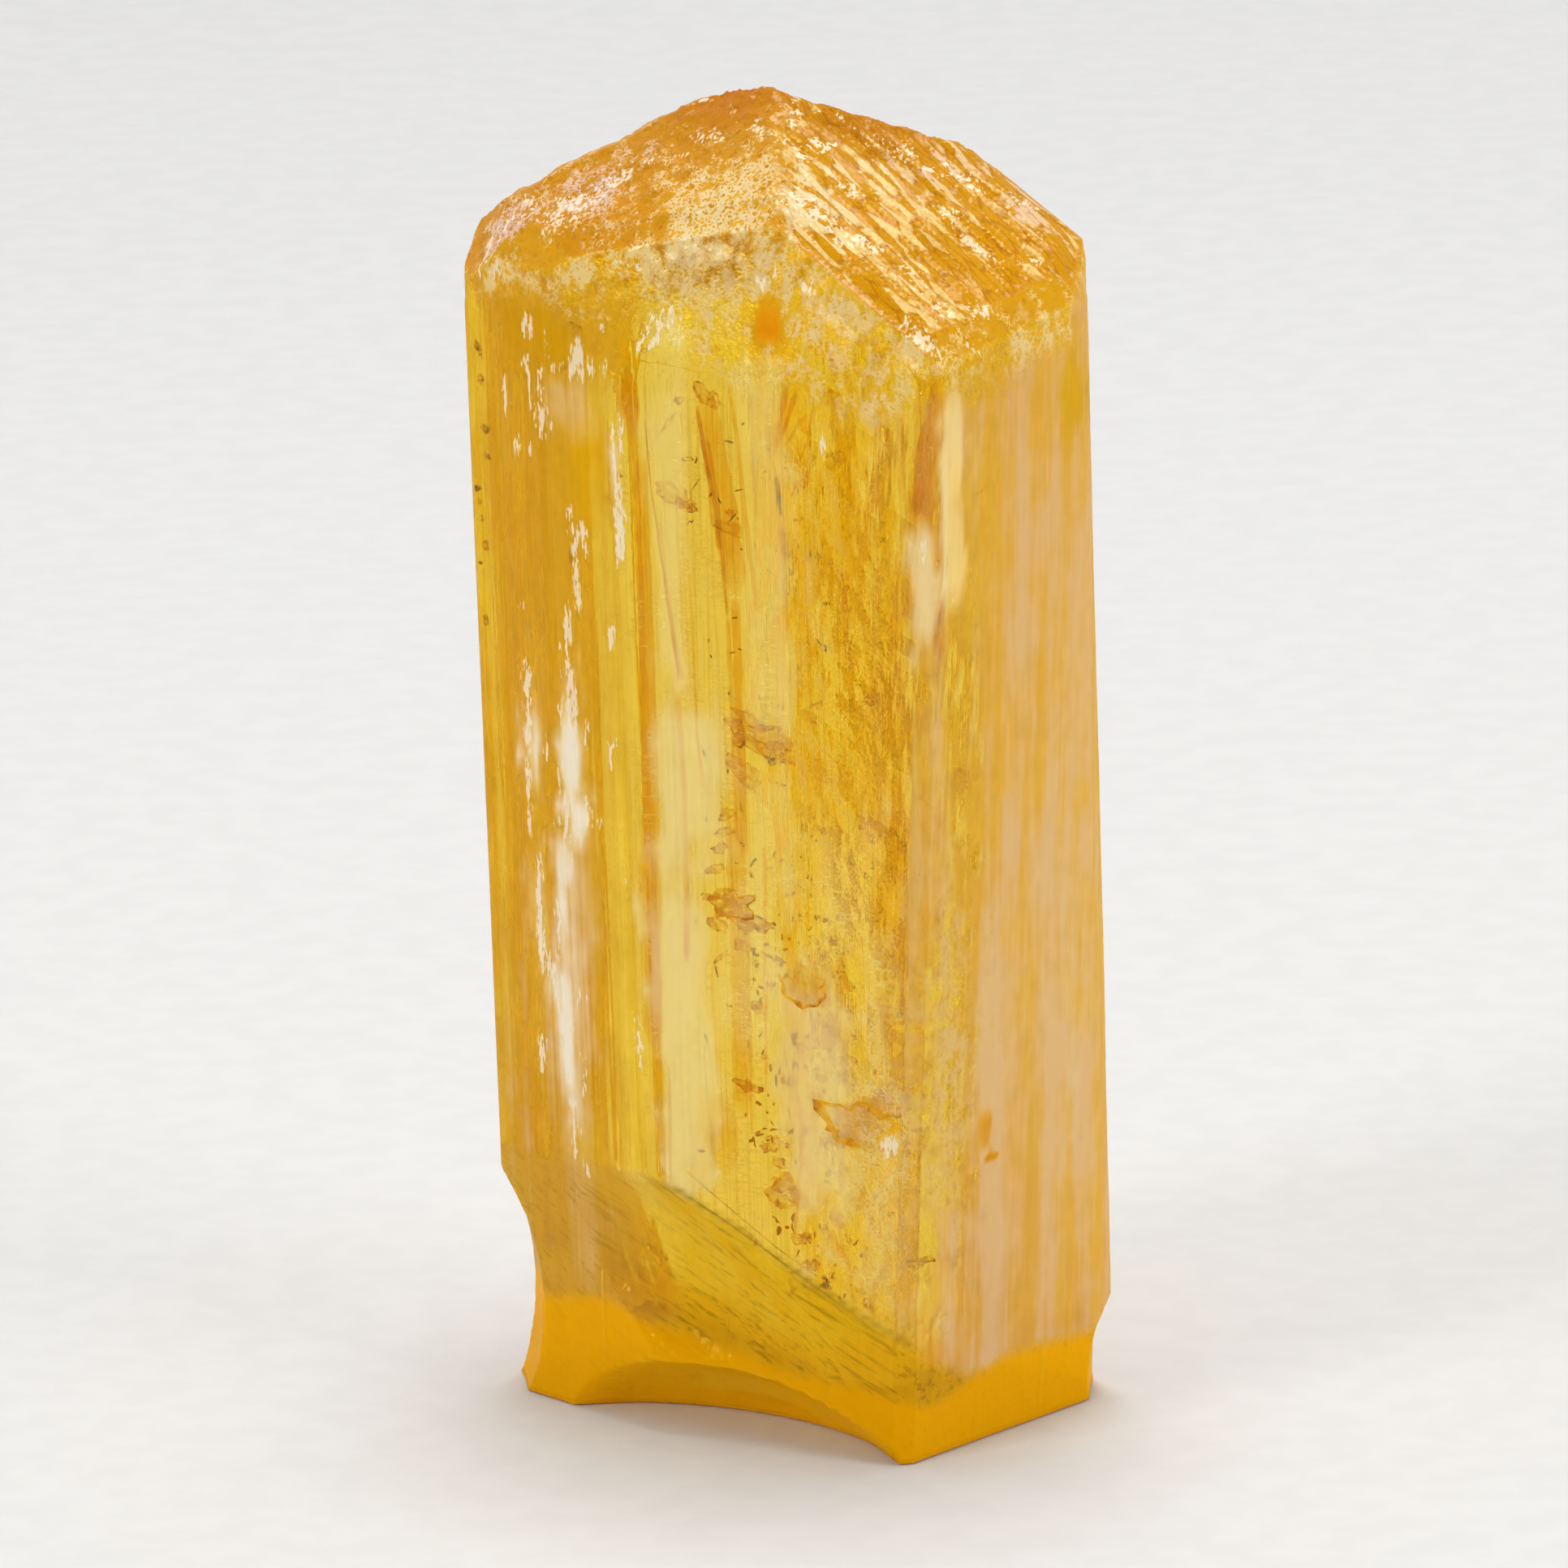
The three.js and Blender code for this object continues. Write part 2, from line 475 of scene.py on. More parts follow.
@dataclass
class TracedSurface:
    """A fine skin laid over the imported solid: a wall of columns, a cap and a base.

    Millimetres. The wall has a point on every column at every row, the cap and the base are
    filled with points of their own, and all three share their seams.
    """

    columns: int = 720
    foot_top: float = 7.0
    foot_step: float = 0.14
    body_step: float = 0.45
    rim_band: float = 1.2
    rim_step: float = 0.1
    roof_slope: float = 0.5
    widest: float = 7.6
    narrowest: float = 3.0
    rim_search: float = 0.02
    cap_step: float = 0.095
    base_step: float = 0.25
    ridge_step: tuple[float, float] = (0.14, 0.05)
    ridge_side: float = -0.25
    points: np.ndarray = field(default_factory=lambda: np.zeros((0, 3)))
    faces: list[tuple[int, ...]] = field(default_factory=list)
    wall_rows: int = 0

    def trace(self) -> None:
        """Traces the solid."""
        rim = self._rim()
        wall = self._wall(rim)
        self.wall_rows = len(wall)
        points = [tuple(p) for row in wall for p in row]
        n = self.columns
        faces: list[tuple[int, ...]] = []
        for i in range(len(wall) - 1):
            for j in range(n):
                k = (j + 1) % n
                faces.append((i * n + j, i * n + k, (i + 1) * n + k, (i + 1) * n + j))
        top = list(range((len(wall) - 1) * n, len(wall) * n))
        self._fill(points, faces, top, self._cap_points(rim), self._height_at)
        self._fill(points, faces, list(range(n)), self._base_points(wall[0]), None)
        self.points = np.array(points)
        self.faces = faces

    @staticmethod
    def _height_at(x: float, y: float) -> float:
        """The solid's top over a place. Args: x, y: the place. Returns: its height."""
        hit = SOLID.ray_cast(Vector((x, y, ABOVE)), DOWN)[0]
        return hit.z if hit is not None else 0.0

    def _rim(self) -> np.ndarray:
        """Finds where the wall turns into the roof. Returns: a point for each column."""
        radii = []
        for j in range(self.columns):
            a = 2 * math.pi * j / self.columns
            radius = self.widest
            while radius > self.narrowest:
                above = Vector((radius * math.cos(a), radius * math.sin(a), ABOVE))
                hit, normal, _, _ = SOLID.ray_cast(above, DOWN)
                if hit is not None and hit.z > MIDDLE_HEIGHT and normal.z > self.roof_slope:
                    break
                radius -= self.rim_search
            radii.append(radius - self.rim_search)
        r = np.array(radii)
        for _ in range(3):
            r = np.minimum(r, (np.roll(r, 1) + r + np.roll(r, -1)) / 3)
        turn = 2 * np.pi * np.arange(self.columns) / self.columns
        x, y = r * np.cos(turn), r * np.sin(turn)
        z = np.array([self._height_at(*p) for p in zip(x, y)])
        return np.stack([x, y, z], 1)

    def _wall(self, rim: np.ndarray) -> list[np.ndarray]:
        """Casts the wall's rows. Args: rim: its top row. Returns: rows from the base up."""
        low = np.arange(0.0, self.foot_top, self.foot_step)
        share_end = (rim[:, 2].mean() - self.rim_band - self.foot_top) / self.body_step
        body = np.linspace(0.0, 1.0, int(share_end) + 1)
        crown = np.linspace(0.0, 1.0, int(self.rim_band / self.rim_step) + 1)[1:]
        rows = []
        heights = [np.full(self.columns, z) for z in low[:-1]]
        shoulder = rim[:, 2] - self.rim_band
        heights += [self.foot_top + (shoulder - self.foot_top) * t for t in body]
        heights += [shoulder + self.rim_band * t for t in crown[:-1]]
        turn = 2 * np.pi * np.arange(self.columns) / self.columns
        for level in heights:
            row = np.zeros((self.columns, 3))
            for j, (a, z) in enumerate(zip(turn, level)):
                out = Vector((math.cos(a), math.sin(a), 0.0))
                start = Vector((0.0, 0.0, max(z, 0.02)))
                hit = SOLID.ray_cast(start, out)[0]
                row[j] = (hit.x, hit.y, z) if hit is not None else (0, 0, z)
            rows.append(row)
        rows.append(rim)
        return rows

    def _cap_points(self, rim: np.ndarray) -> np.ndarray:
        """Places for the cap's points: even on the left, drawn out along the ridges on the right.

        Args:
            rim: the loop round them.

        Returns:
            x and y of each point.
        """
        step, side = self.cap_step, self.ridge_side
        even = self._inside(rim, step, step * math.sqrt(3) / 2, 0.0, 0.6 * step)
        drawn = self._inside(rim, *self.ridge_step, ETCH_TURN, 0.05)
        return np.concatenate([even[even[:, 0] < side], drawn[drawn[:, 0] > side]])

    def _base_points(self, ring: np.ndarray) -> np.ndarray:
        """Places for the base's points. Args: ring: the loop around them. Returns: x and y."""
        step = self.base_step
        return self._inside(ring, step, step, 0.0, 0.3 * step)

    @staticmethod
    def _inside(
        loop: np.ndarray, along: float, across: float, turn: float, margin: float
    ) -> np.ndarray:
        """A staggered grid inside a loop.

        Args:
            loop: points round the middle, in order of their angle.
            along, across: the grid's steps.
            turn: the grid's turn in radians.
            margin: how far inside the loop the points stay.

        Returns:
            x and y of each point.
        """
        u = np.arange(-9, 9, along)
        v = np.arange(-9, 9, across)
        gu, gv = np.meshgrid(u, v)
        gu = gu + np.where(np.arange(len(v)) % 2 == 1, along / 2, 0.0)[:, None]
        x = (gu * math.cos(turn) - gv * math.sin(turn)).ravel()
        y = (gu * math.sin(turn) + gv * math.cos(turn)).ravel()
        angle = np.arctan2(loop[:, 1], loop[:, 0])
        order = np.argsort(angle)
        radius = np.hypot(loop[:, 0], loop[:, 1])[order]
        edge = np.interp(np.arctan2(y, x), angle[order], radius, period=2 * np.pi)
        keep = np.hypot(x, y) < edge - margin
        return np.stack([x[keep], y[keep]], 1)

    def _fill(
        self,
        points: list[Triple],
        faces: list[tuple[int, ...]],
        loop: list[int],
        inner: np.ndarray,
        height: Callable[[float, float], float] | None,
    ) -> None:
        """Fills a loop with triangles.

        Args:
            points, faces: what is added to.
            loop: numbers of the loop's points, in order.
            inner: x and y of the points inside.
            height: gives a point's height, or None for a flat base that looks down.
        """
        flat = [Vector(points[i][:2]) for i in loop] + [Vector(p) for p in inner]
        edges = [(i, (i + 1) % len(loop)) for i in range(len(loop))]
        out, _, tris, origin, _, _ = geometry.delaunay_2d_cdt(flat, edges, [], 1, 1e-7)
        number = []
        for k, place in enumerate(out):
            first = origin[k][0] if origin[k] else -1
            if 0 <= first < len(loop):
                number.append(loop[first])
            else:
                z = height(place.x, place.y) if height else 0.0
                number.append(len(points))
                points.append((place.x, place.y, z))
        for tri in tris:
            corners = [number[i] for i in tri]
            a, b, c = (out[i] for i in tri)
            left = (b - a).cross(c - a) > 0
            if left != (height is not None):
                corners.reverse()
            faces.append(tuple(corners))

    def to_mesh(self, name: str) -> bpy.types.Mesh:
        """Makes the mesh in metres. Args: name: its name. Returns: the mesh."""
        mesh = bpy.data.meshes.new(name)
        mesh.from_pydata((self.points * MM).tolist(), [], self.faces)
        mesh.validate()
        return mesh


# ---------------- relief


def terrace(value: np.ndarray, levels: float, edge: float = 0.3) -> np.ndarray:
    """Turns a slope into treads and risers.

    Args:
        value: heights.
        levels: treads per unit of height.
        edge: share of a tread that its riser takes.

    Returns:
        The stepped heights.
    """
    level = value * levels
    tread = np.floor(level)
    share = np.clip((level - tread - 0.5) / edge + 0.5, 0.0, 1.0)
    return (tread + share) / levels


def smooth_step(low: float, high: float, value: np.ndarray) -> np.ndarray:
    """A soft step. Args: low, high: where it is 0 and 1. value: what is tested. Returns: 0 to 1."""
    t = np.clip((value - low) / (high - low), 0.0, 1.0)
    return t * t * (3.0 - 2.0 * t)


def grain_at(places: np.ndarray, scale: Sequence[float], octaves: int = 1) -> np.ndarray:
    """Noise at many places.

    Args:
        places: points.
        scale: cells per millimetre along each axis.
        octaves: how many finer copies are added.

    Returns:
        About -1 to 1 for each place.
    """
    scaled = places * np.asarray(scale)
    if octaves == 1:
        return np.array([noise.noise(Vector(p)) for p in scaled])
    return np.array([noise.fractal(Vector(p), 1.0, 2.0, octaves) for p in scaled])


@dataclass(frozen=True)
class Striae:
    """Ridges and grooves that run the whole length of the prism faces."""

    # normal azimuth of a face, depth of its striae in mm
    depths: tuple[tuple[float, float], ...] = (
        (-152.15, 0.02),
        (-133.4, 0.03),
        (-46.6, 0.024),
        (-27.85, 0.003),
        (43.5, 0.018),
        (92.0, 0.024),
        (133.4, 0.006),
        (152.15, 0.005),
    )
    # cells per mm across, share of the depth, treads
    bands: tuple[Triple, ...] = (
        (0.9, 1.0, 5.0),
        (2.3, 0.55, 4.0),
        (5.0, 0.35, 3.0),
        (9.0, 0.2, 2.0),
    )

    def depth_for(self, azimuth: np.ndarray) -> np.ndarray:
        """The striae's depth. Args: azimuth: of the surface's normals. Returns: mm."""
        where, depth = zip(*self.depths)
        return np.interp(azimuth, where, depth, period=360.0)

    def height(self, places: np.ndarray, azimuth: np.ndarray) -> np.ndarray:
        """Heights of the ridges. Args: places: points. azimuth: their normals'. Returns: mm."""
        total = np.zeros(len(places))
        for i, (cells, share, treads) in enumerate(self.bands):
            scale = (cells, cells, 0.022 * cells)
            value = grain_at(places + 17.0 * i, scale)
            total += share * terrace(value, treads)
        return total * self.depth_for(azimuth)


@dataclass(frozen=True)
class EtchPits:
    """Three-sided pits, long along the etch steps."""

    count: int = 150
    seed: int = 11
    length: tuple[float, float] = (0.25, 1.0)
    width: tuple[float, float] = (0.09, 0.3)
    depth: tuple[float, float] = (0.03, 0.1)

    def height(
        self, along: np.ndarray, across: np.ndarray, room: tuple[float, ...]
    ) -> np.ndarray:
        """Heights of the pits.

        Args:
            along, across: places on the face in mm.
            room: lowest and highest along, then across, that the pits' middles take.

        Returns:
            Zero or less, mm.
        """
        rng = np.random.default_rng(self.seed)
        total = np.zeros(len(along))
        for _ in range(self.count):
            u0, v0 = rng.uniform(room[0], room[1]), rng.uniform(room[2], room[3])
            length, width = rng.uniform(*self.length), rng.uniform(*self.width)
            depth, lean = rng.uniform(*self.depth), rng.uniform(0.3, 0.9)
            side = 1.0 if rng.uniform() < 0.7 else -1.0
            s, t = (along - u0) / length, (across - v0) / width * side
            walls = np.stack([t + 1.0, 1.0 - t - s * 1.6 * lean, 1.0 - t * 0.4 + s * 1.3])
            low = np.clip(walls.min(0), 0.0, 1.0) * depth
            total = np.minimum(total, -low)
        return total


@dataclass(frozen=True)
class Relief:
    """Everything that is cut or worn into the crystal's flat faces."""

    striae: Striae = Striae()
    pits: EtchPits = EtchPits()
    step_depth: float = 0.06
    ridge_spacing: float = 0.34
    ridge_depth: float = 0.075
    frosted_depth: float = 0.06
    crumbled_depth: float = 0.05

    def roof(self, places: np.ndarray) -> tuple[np.ndarray, np.ndarray, np.ndarray]:
        """Etched roof.

        Args:
            places: points.

        Returns:
            Heights in mm, the share of ridges, and how high each place stands, 0 to 1.
        """
        along, across = etch_axes(places)
        flow = np.stack([along, across, places[:, 2]], 1)
        wander = grain_at(flow + 5.0, (0.45, 0.45, 0.0))
        steps = terrace(grain_at(flow, (0.13, 1.0, 0.0)) + 0.25 * wander, 5.0, 0.25)
        row = across / self.ridge_spacing + 1.1 * grain_at(flow + 9.0, (0.22, 0.5, 0.0))
        row += 0.25 * terrace(grain_at(flow + 31.0, (0.9, 2.2, 0.0)), 3.0, 0.2)
        saw = row - np.floor(row)
        ridge = np.where(saw < 0.78, saw / 0.78, (1.0 - saw) / 0.22)
        broken = smooth_step(-0.45, 0.25, grain_at(flow + 13.0, (0.5, 1.6, 0.0)))
        stepped = self.step_depth * steps + self.ridge_depth * broken * (ridge - 0.5)
        stepped = stepped + self.pits.height(along, across, (-1.0, 7.5, -5.5, 6.0))
        rough = grain_at(places, (1.4, 1.4, 1.4), 5)
        cells = grain_at(places + 3.3, (4.6, 4.6, 4.6), 2)
        grainy = self.frosted_depth * (rough + 0.6 * cells)
        share = smooth_step(-0.35, 0.35, places[:, 0] - 0.2 + 0.35 * wander)
        ridge_crest = 0.15 + 0.8 * ridge * broken
        grain_crest = 0.5 + 0.6 * rough + 0.5 * cells
        crest = share * ridge_crest + (1.0 - share) * grain_crest
        return share * stepped + (1.0 - share) * grainy, share, np.clip(crest, 0.0, 1.0)


def etch_axes(places: np.ndarray) -> tuple[np.ndarray, np.ndarray]:
    """Measures places along and across the etch ridges. Args: places: points. Returns: mm."""
    c, s = math.cos(ETCH_TURN), math.sin(ETCH_TURN)
    return places[:, 0] * c + places[:, 1] * s, places[:, 1] * c - places[:, 0] * s


@dataclass(frozen=True)
class Streak:
    """A mark on the surface along a line, in mm."""

    start: Triple
    end: Triple
    radius: float
    strength: float

    def field(self, places: np.ndarray) -> np.ndarray:
        """How strong the mark is. Args: places: points. Returns: 0 to its strength, 0 far off."""
        a, b = np.array(self.start), np.array(self.end)
        line = b - a
        share = np.clip((places - a) @ line / max(line @ line, 1e-9), 0.0, 1.0)
        gap = np.linalg.norm(places - a - share[:, None] * line, axis=1)
        width = self.radius * (1.25 - 0.5 * share)
        return self.strength * np.clip(1.0 - 0.5 * gap / width, 0.0, 1.0)


# the pixels that a white mark runs between, its half width in mm and its strength; the marks are crazed
# frost in part and painted glints and highlights in part
FROST_AND_GLINT_ROWS = (
    (764, 517, 766, 567, 0.14, 1.0), (763, 575, 764, 625, 0.09, 0.7),
    (765, 631, 762, 684, 0.13, 1.0), (719, 657, 704, 684, 0.11, 1.0),
    (698, 742, 703, 801, 0.09, 0.9), (701, 827, 704, 867, 0.11, 1.0),
    (695, 886, 697, 890, 0.23, 1.0), (706, 880, 706, 985, 0.11, 1.0),
    (695, 1018, 697, 1022, 0.22, 1.0), (703, 1030, 703, 1075, 0.09, 0.9),
    (640, 812, 650, 880, 0.13, 1.0), (650, 880, 653, 1046, 0.11, 1.0),
    (684, 943, 686, 976, 0.05, 0.8), (756, 909, 751, 948, 0.13, 0.8),
    (688, 1108, 689, 1181, 0.11, 0.9), (695, 1212, 706, 1254, 0.18, 1.0),
    (700, 1254, 703, 1290, 0.14, 0.9), (770, 1088, 770, 1094, 0.16, 0.8),
    (784, 1250, 789, 1323, 0.11, 0.9), (719, 1290, 719, 1352, 0.09, 0.9),
    (706, 1370, 707, 1421, 0.14, 1.0), (722, 1438, 724, 1446, 0.14, 0.7),
    (643, 438, 651, 473, 0.09, 1.0), (664, 500, 666, 523, 0.16, 1.0),
    (637, 537, 636, 564, 0.07, 0.9), (669, 544, 670, 550, 0.11, 0.9),
    (704, 458, 739, 446, 0.13, 1.0), (806, 408, 828, 390, 0.2, 1.2),
    (846, 404, 850, 407, 0.13, 1.1), (789, 419, 790, 421, 0.09, 1.2),
    (821, 367, 824, 372, 0.09, 0.9), (704, 395, 733, 396, 0.05, 0.8),
    (708, 429, 714, 429, 0.07, 0.8), (690, 262, 725, 248, 0.39, 1.0),
    (681, 279, 775, 206, 0.29, 0.8), (600, 325, 606, 295, 0.27, 1.0),
    (643, 253, 655, 250, 0.2, 0.8), (610, 290, 650, 262, 0.32, 0.6),
    (745, 323, 789, 329, 0.09, 0.7), (700, 318, 740, 312, 0.09, 0.5),
    (868, 122, 869, 127, 0.09, 1.0), (930, 155, 936, 163, 0.13, 1.0),
    (980, 120, 981, 128, 0.09, 1.0), (980, 150, 981, 156, 0.11, 0.9),
    (862, 168, 890, 168, 0.22, 0.7), (800, 200, 850, 190, 0.18, 0.55),
    (820, 230, 880, 215, 0.16, 0.5), (978, 241, 1026, 275, 0.23, 1.0),
    (1037, 289, 1080, 306, 0.2, 1.0), (1040, 228, 1066, 244, 0.16, 0.9),
    (1120, 332, 1121, 336, 0.18, 0.9), (1167, 383, 1171, 384, 0.22, 1.0),
    (1209, 383, 1215, 384, 0.22, 1.0), (1183, 290, 1228, 323, 0.11, 0.9),
    (1142, 207, 1143, 210, 0.11, 1.2), (1170, 264, 1177, 275, 0.14, 1.1),
    (1110, 185, 1118, 190, 0.29, 0.7), (1175, 212, 1206, 232, 0.36, 0.6),
    (1262, 250, 1272, 253, 0.29, 0.75), (1278, 318, 1280, 320, 0.16, 0.9),
    (1122, 405, 1152, 436, 0.2, 1.0), (1004, 178, 1030, 181, 0.18, 0.8),
    (970, 135, 985, 141, 0.14, 0.7), (968, 172, 992, 195, 0.16, 0.8),
    (994, 354, 997, 358, 0.18, 0.8), (933, 345, 936, 348, 0.14, 1.0),
    (954, 339, 957, 342, 0.14, 1.0), (1085, 170, 1140, 215, 0.13, 0.6),
    (1035, 140, 1075, 185, 0.11, 0.5), (1087, 1415, 1088, 1419, 0.13, 1.3),
    (1246, 460, 1247, 462, 0.09, 1.1), (1195, 428, 1225, 441, 0.09, 0.8),
    (1120, 345, 1160, 385, 0.09, 0.7), (702, 394, 722, 393, 0.09, 1.15),
    (722, 393, 745, 397, 0.09, 1.15), (690, 463, 712, 458, 0.13, 1.15),
    (712, 458, 735, 450, 0.13, 1.15), (735, 450, 752, 440, 0.13, 1.15),
    (757, 515, 756, 545, 0.12, 0.85), (756, 545, 757, 600, 0.12, 0.85),
    (757, 610, 762, 650, 0.15, 1.15), (762, 650, 760, 690, 0.15, 1.15),
    (663, 476, 664, 495, 0.09, 0.85), (664, 495, 666, 516, 0.09, 0.85),
    (648, 820, 650, 900, 0.1, 1.15), (650, 900, 654, 980, 0.1, 1.15),
    (702, 860, 705, 930, 0.18, 1.15), (705, 930, 700, 1000, 0.18, 1.15),
    (663, 1070, 664, 1130, 0.13, 1.15), (664, 1130, 668, 1190, 0.13, 1.15),
    (694, 1240, 698, 1290, 0.15, 1.15), (698, 1290, 702, 1350, 0.15, 1.15),
    (706, 1370, 708, 1395, 0.13, 1.15), (708, 1395, 706, 1420, 0.13, 1.15),
    (700, 760, 694, 800, 0.1, 1.15), (694, 800, 696, 850, 0.1, 1.15),
    (646, 392, 644, 408, 0.09, 1.15), (650, 394, 653, 410, 0.09, 1.15),
    (656, 390, 653, 402, 0.09, 1.15), (673, 412, 673, 416, 0.09, 1.15),
    (706, 428, 716, 428, 0.09, 1.15), (648, 447, 652, 465, 0.09, 1.15),
    (664, 456, 668, 468, 0.09, 1.15), (678, 444, 688, 456, 0.09, 1.15),
    (667, 514, 667, 528, 0.23, 1.15), (663, 543, 670, 543, 0.09, 1.15),
    (636, 539, 638, 559, 0.09, 1.15), (651, 543, 651, 555, 0.09, 1.15),
    (620, 465, 620, 479, 0.09, 1.15), (624, 497, 624, 511, 0.09, 1.15),
    (710, 655, 718, 673, 0.2, 1.15), (703, 626, 697, 644, 0.09, 1.15),
    (789, 416, 789, 424, 0.09, 1.15), (838, 407, 850, 407, 0.12, 1.15),
    (808, 398, 829, 398, 0.18, 1.15), (712, 734, 712, 756, 0.09, 1.15),
    (709, 713, 703, 727, 0.09, 1.15), (640, 750, 640, 770, 0.09, 1.15),
    (754, 781, 750, 799, 0.11, 1.15), (718, 1001, 714, 1019, 0.23, 1.15),
    (690, 949, 690, 970, 0.11, 1.15), (672, 919, 672, 941, 0.09, 1.15),
    (738, 1001, 742, 1020, 0.11, 1.15), (726, 891, 722, 909, 0.09, 1.15),
    (680, 1190, 680, 1211, 0.2, 1.15), (714, 1220, 718, 1240, 0.14, 1.15),
    (668, 1290, 668, 1310, 0.14, 1.15), (1176, 733, 1176, 737, 0.09, 1.15),
    (1138, 684, 1138, 696, 0.09, 1.15), (1093, 1412, 1102, 1412, 0.1, 1.15),
    (1015, 553, 1009, 567, 0.09, 1.15),
)
# white marks: crazed frost in part, painted glints and highlights in part
FROST_AND_GLINT_MARKS = tuple(
    Streak(SIGHT.place(x0, y0), SIGHT.place(x1, y1), *rest) for x0, y0, x1, y1, *rest in FROST_AND_GLINT_ROWS
)

# noises of the skin: a cell's size in mm, octaves, how much the finer ones count
SKIN_GRAINS: dict[str, tuple[Triple, float, float]] = {
    "streaks": ((0.42, 0.42, 16.0), 2.0, 0.6),
    "threads": ((0.11, 0.11, 4.0), 0.0, 0.5),
    "lines": ((0.055, 0.055, 4.0), 1.0, 0.6),
    "bands": ((1.1, 1.1, 40.0), 2.0, 0.5),
    "blotch": ((1.1, 1.1, 2.0), 2.0, 0.6),
    "mottle": ((0.42, 0.42, 0.55), 3.0, 0.65),
    "ragged": ((0.2, 0.2, 0.62), 2.0, 0.7),
    "splinter": ((0.07, 0.07, 0.26), 1.0, 0.6),
    "grit": ((0.15, 0.15, 0.15), 2.0, 0.7),
    "wisps": ((0.34, 0.34, 0.09), 2.0, 0.7),
}


@dataclass(frozen=True)
class SkinWires:
    """The skin's noises and point attributes, each laid out once."""

    streaks: Wire
    threads: Wire
    lines: Wire
    bands: Wire
    blotch: Wire
    mottle: Wire
    ragged: Wire
    splinter: Wire
    grit: Wire
    wisps: Wire
    satin: Wire
    pale: Wire
    etch: Wire
    calm: Wire
    ridged: Wire
    crest: Wire
    milk: Wire
    glow: Wire
    torn: Wire
    crinkle: Wire
    frost: Wire

    @classmethod
    def lay(cls, sheet: NodeSheet) -> "SkinWires":
        """Lays them out. Args: sheet: where. Returns: the wires."""
        wires = {name: sheet.grain(*how) for name, how in SKIN_GRAINS.items()}
        names = [one.name for one in fields(cls) if one.name not in wires]
        return cls(**wires, **{name: sheet.attribute(name) for name in names})


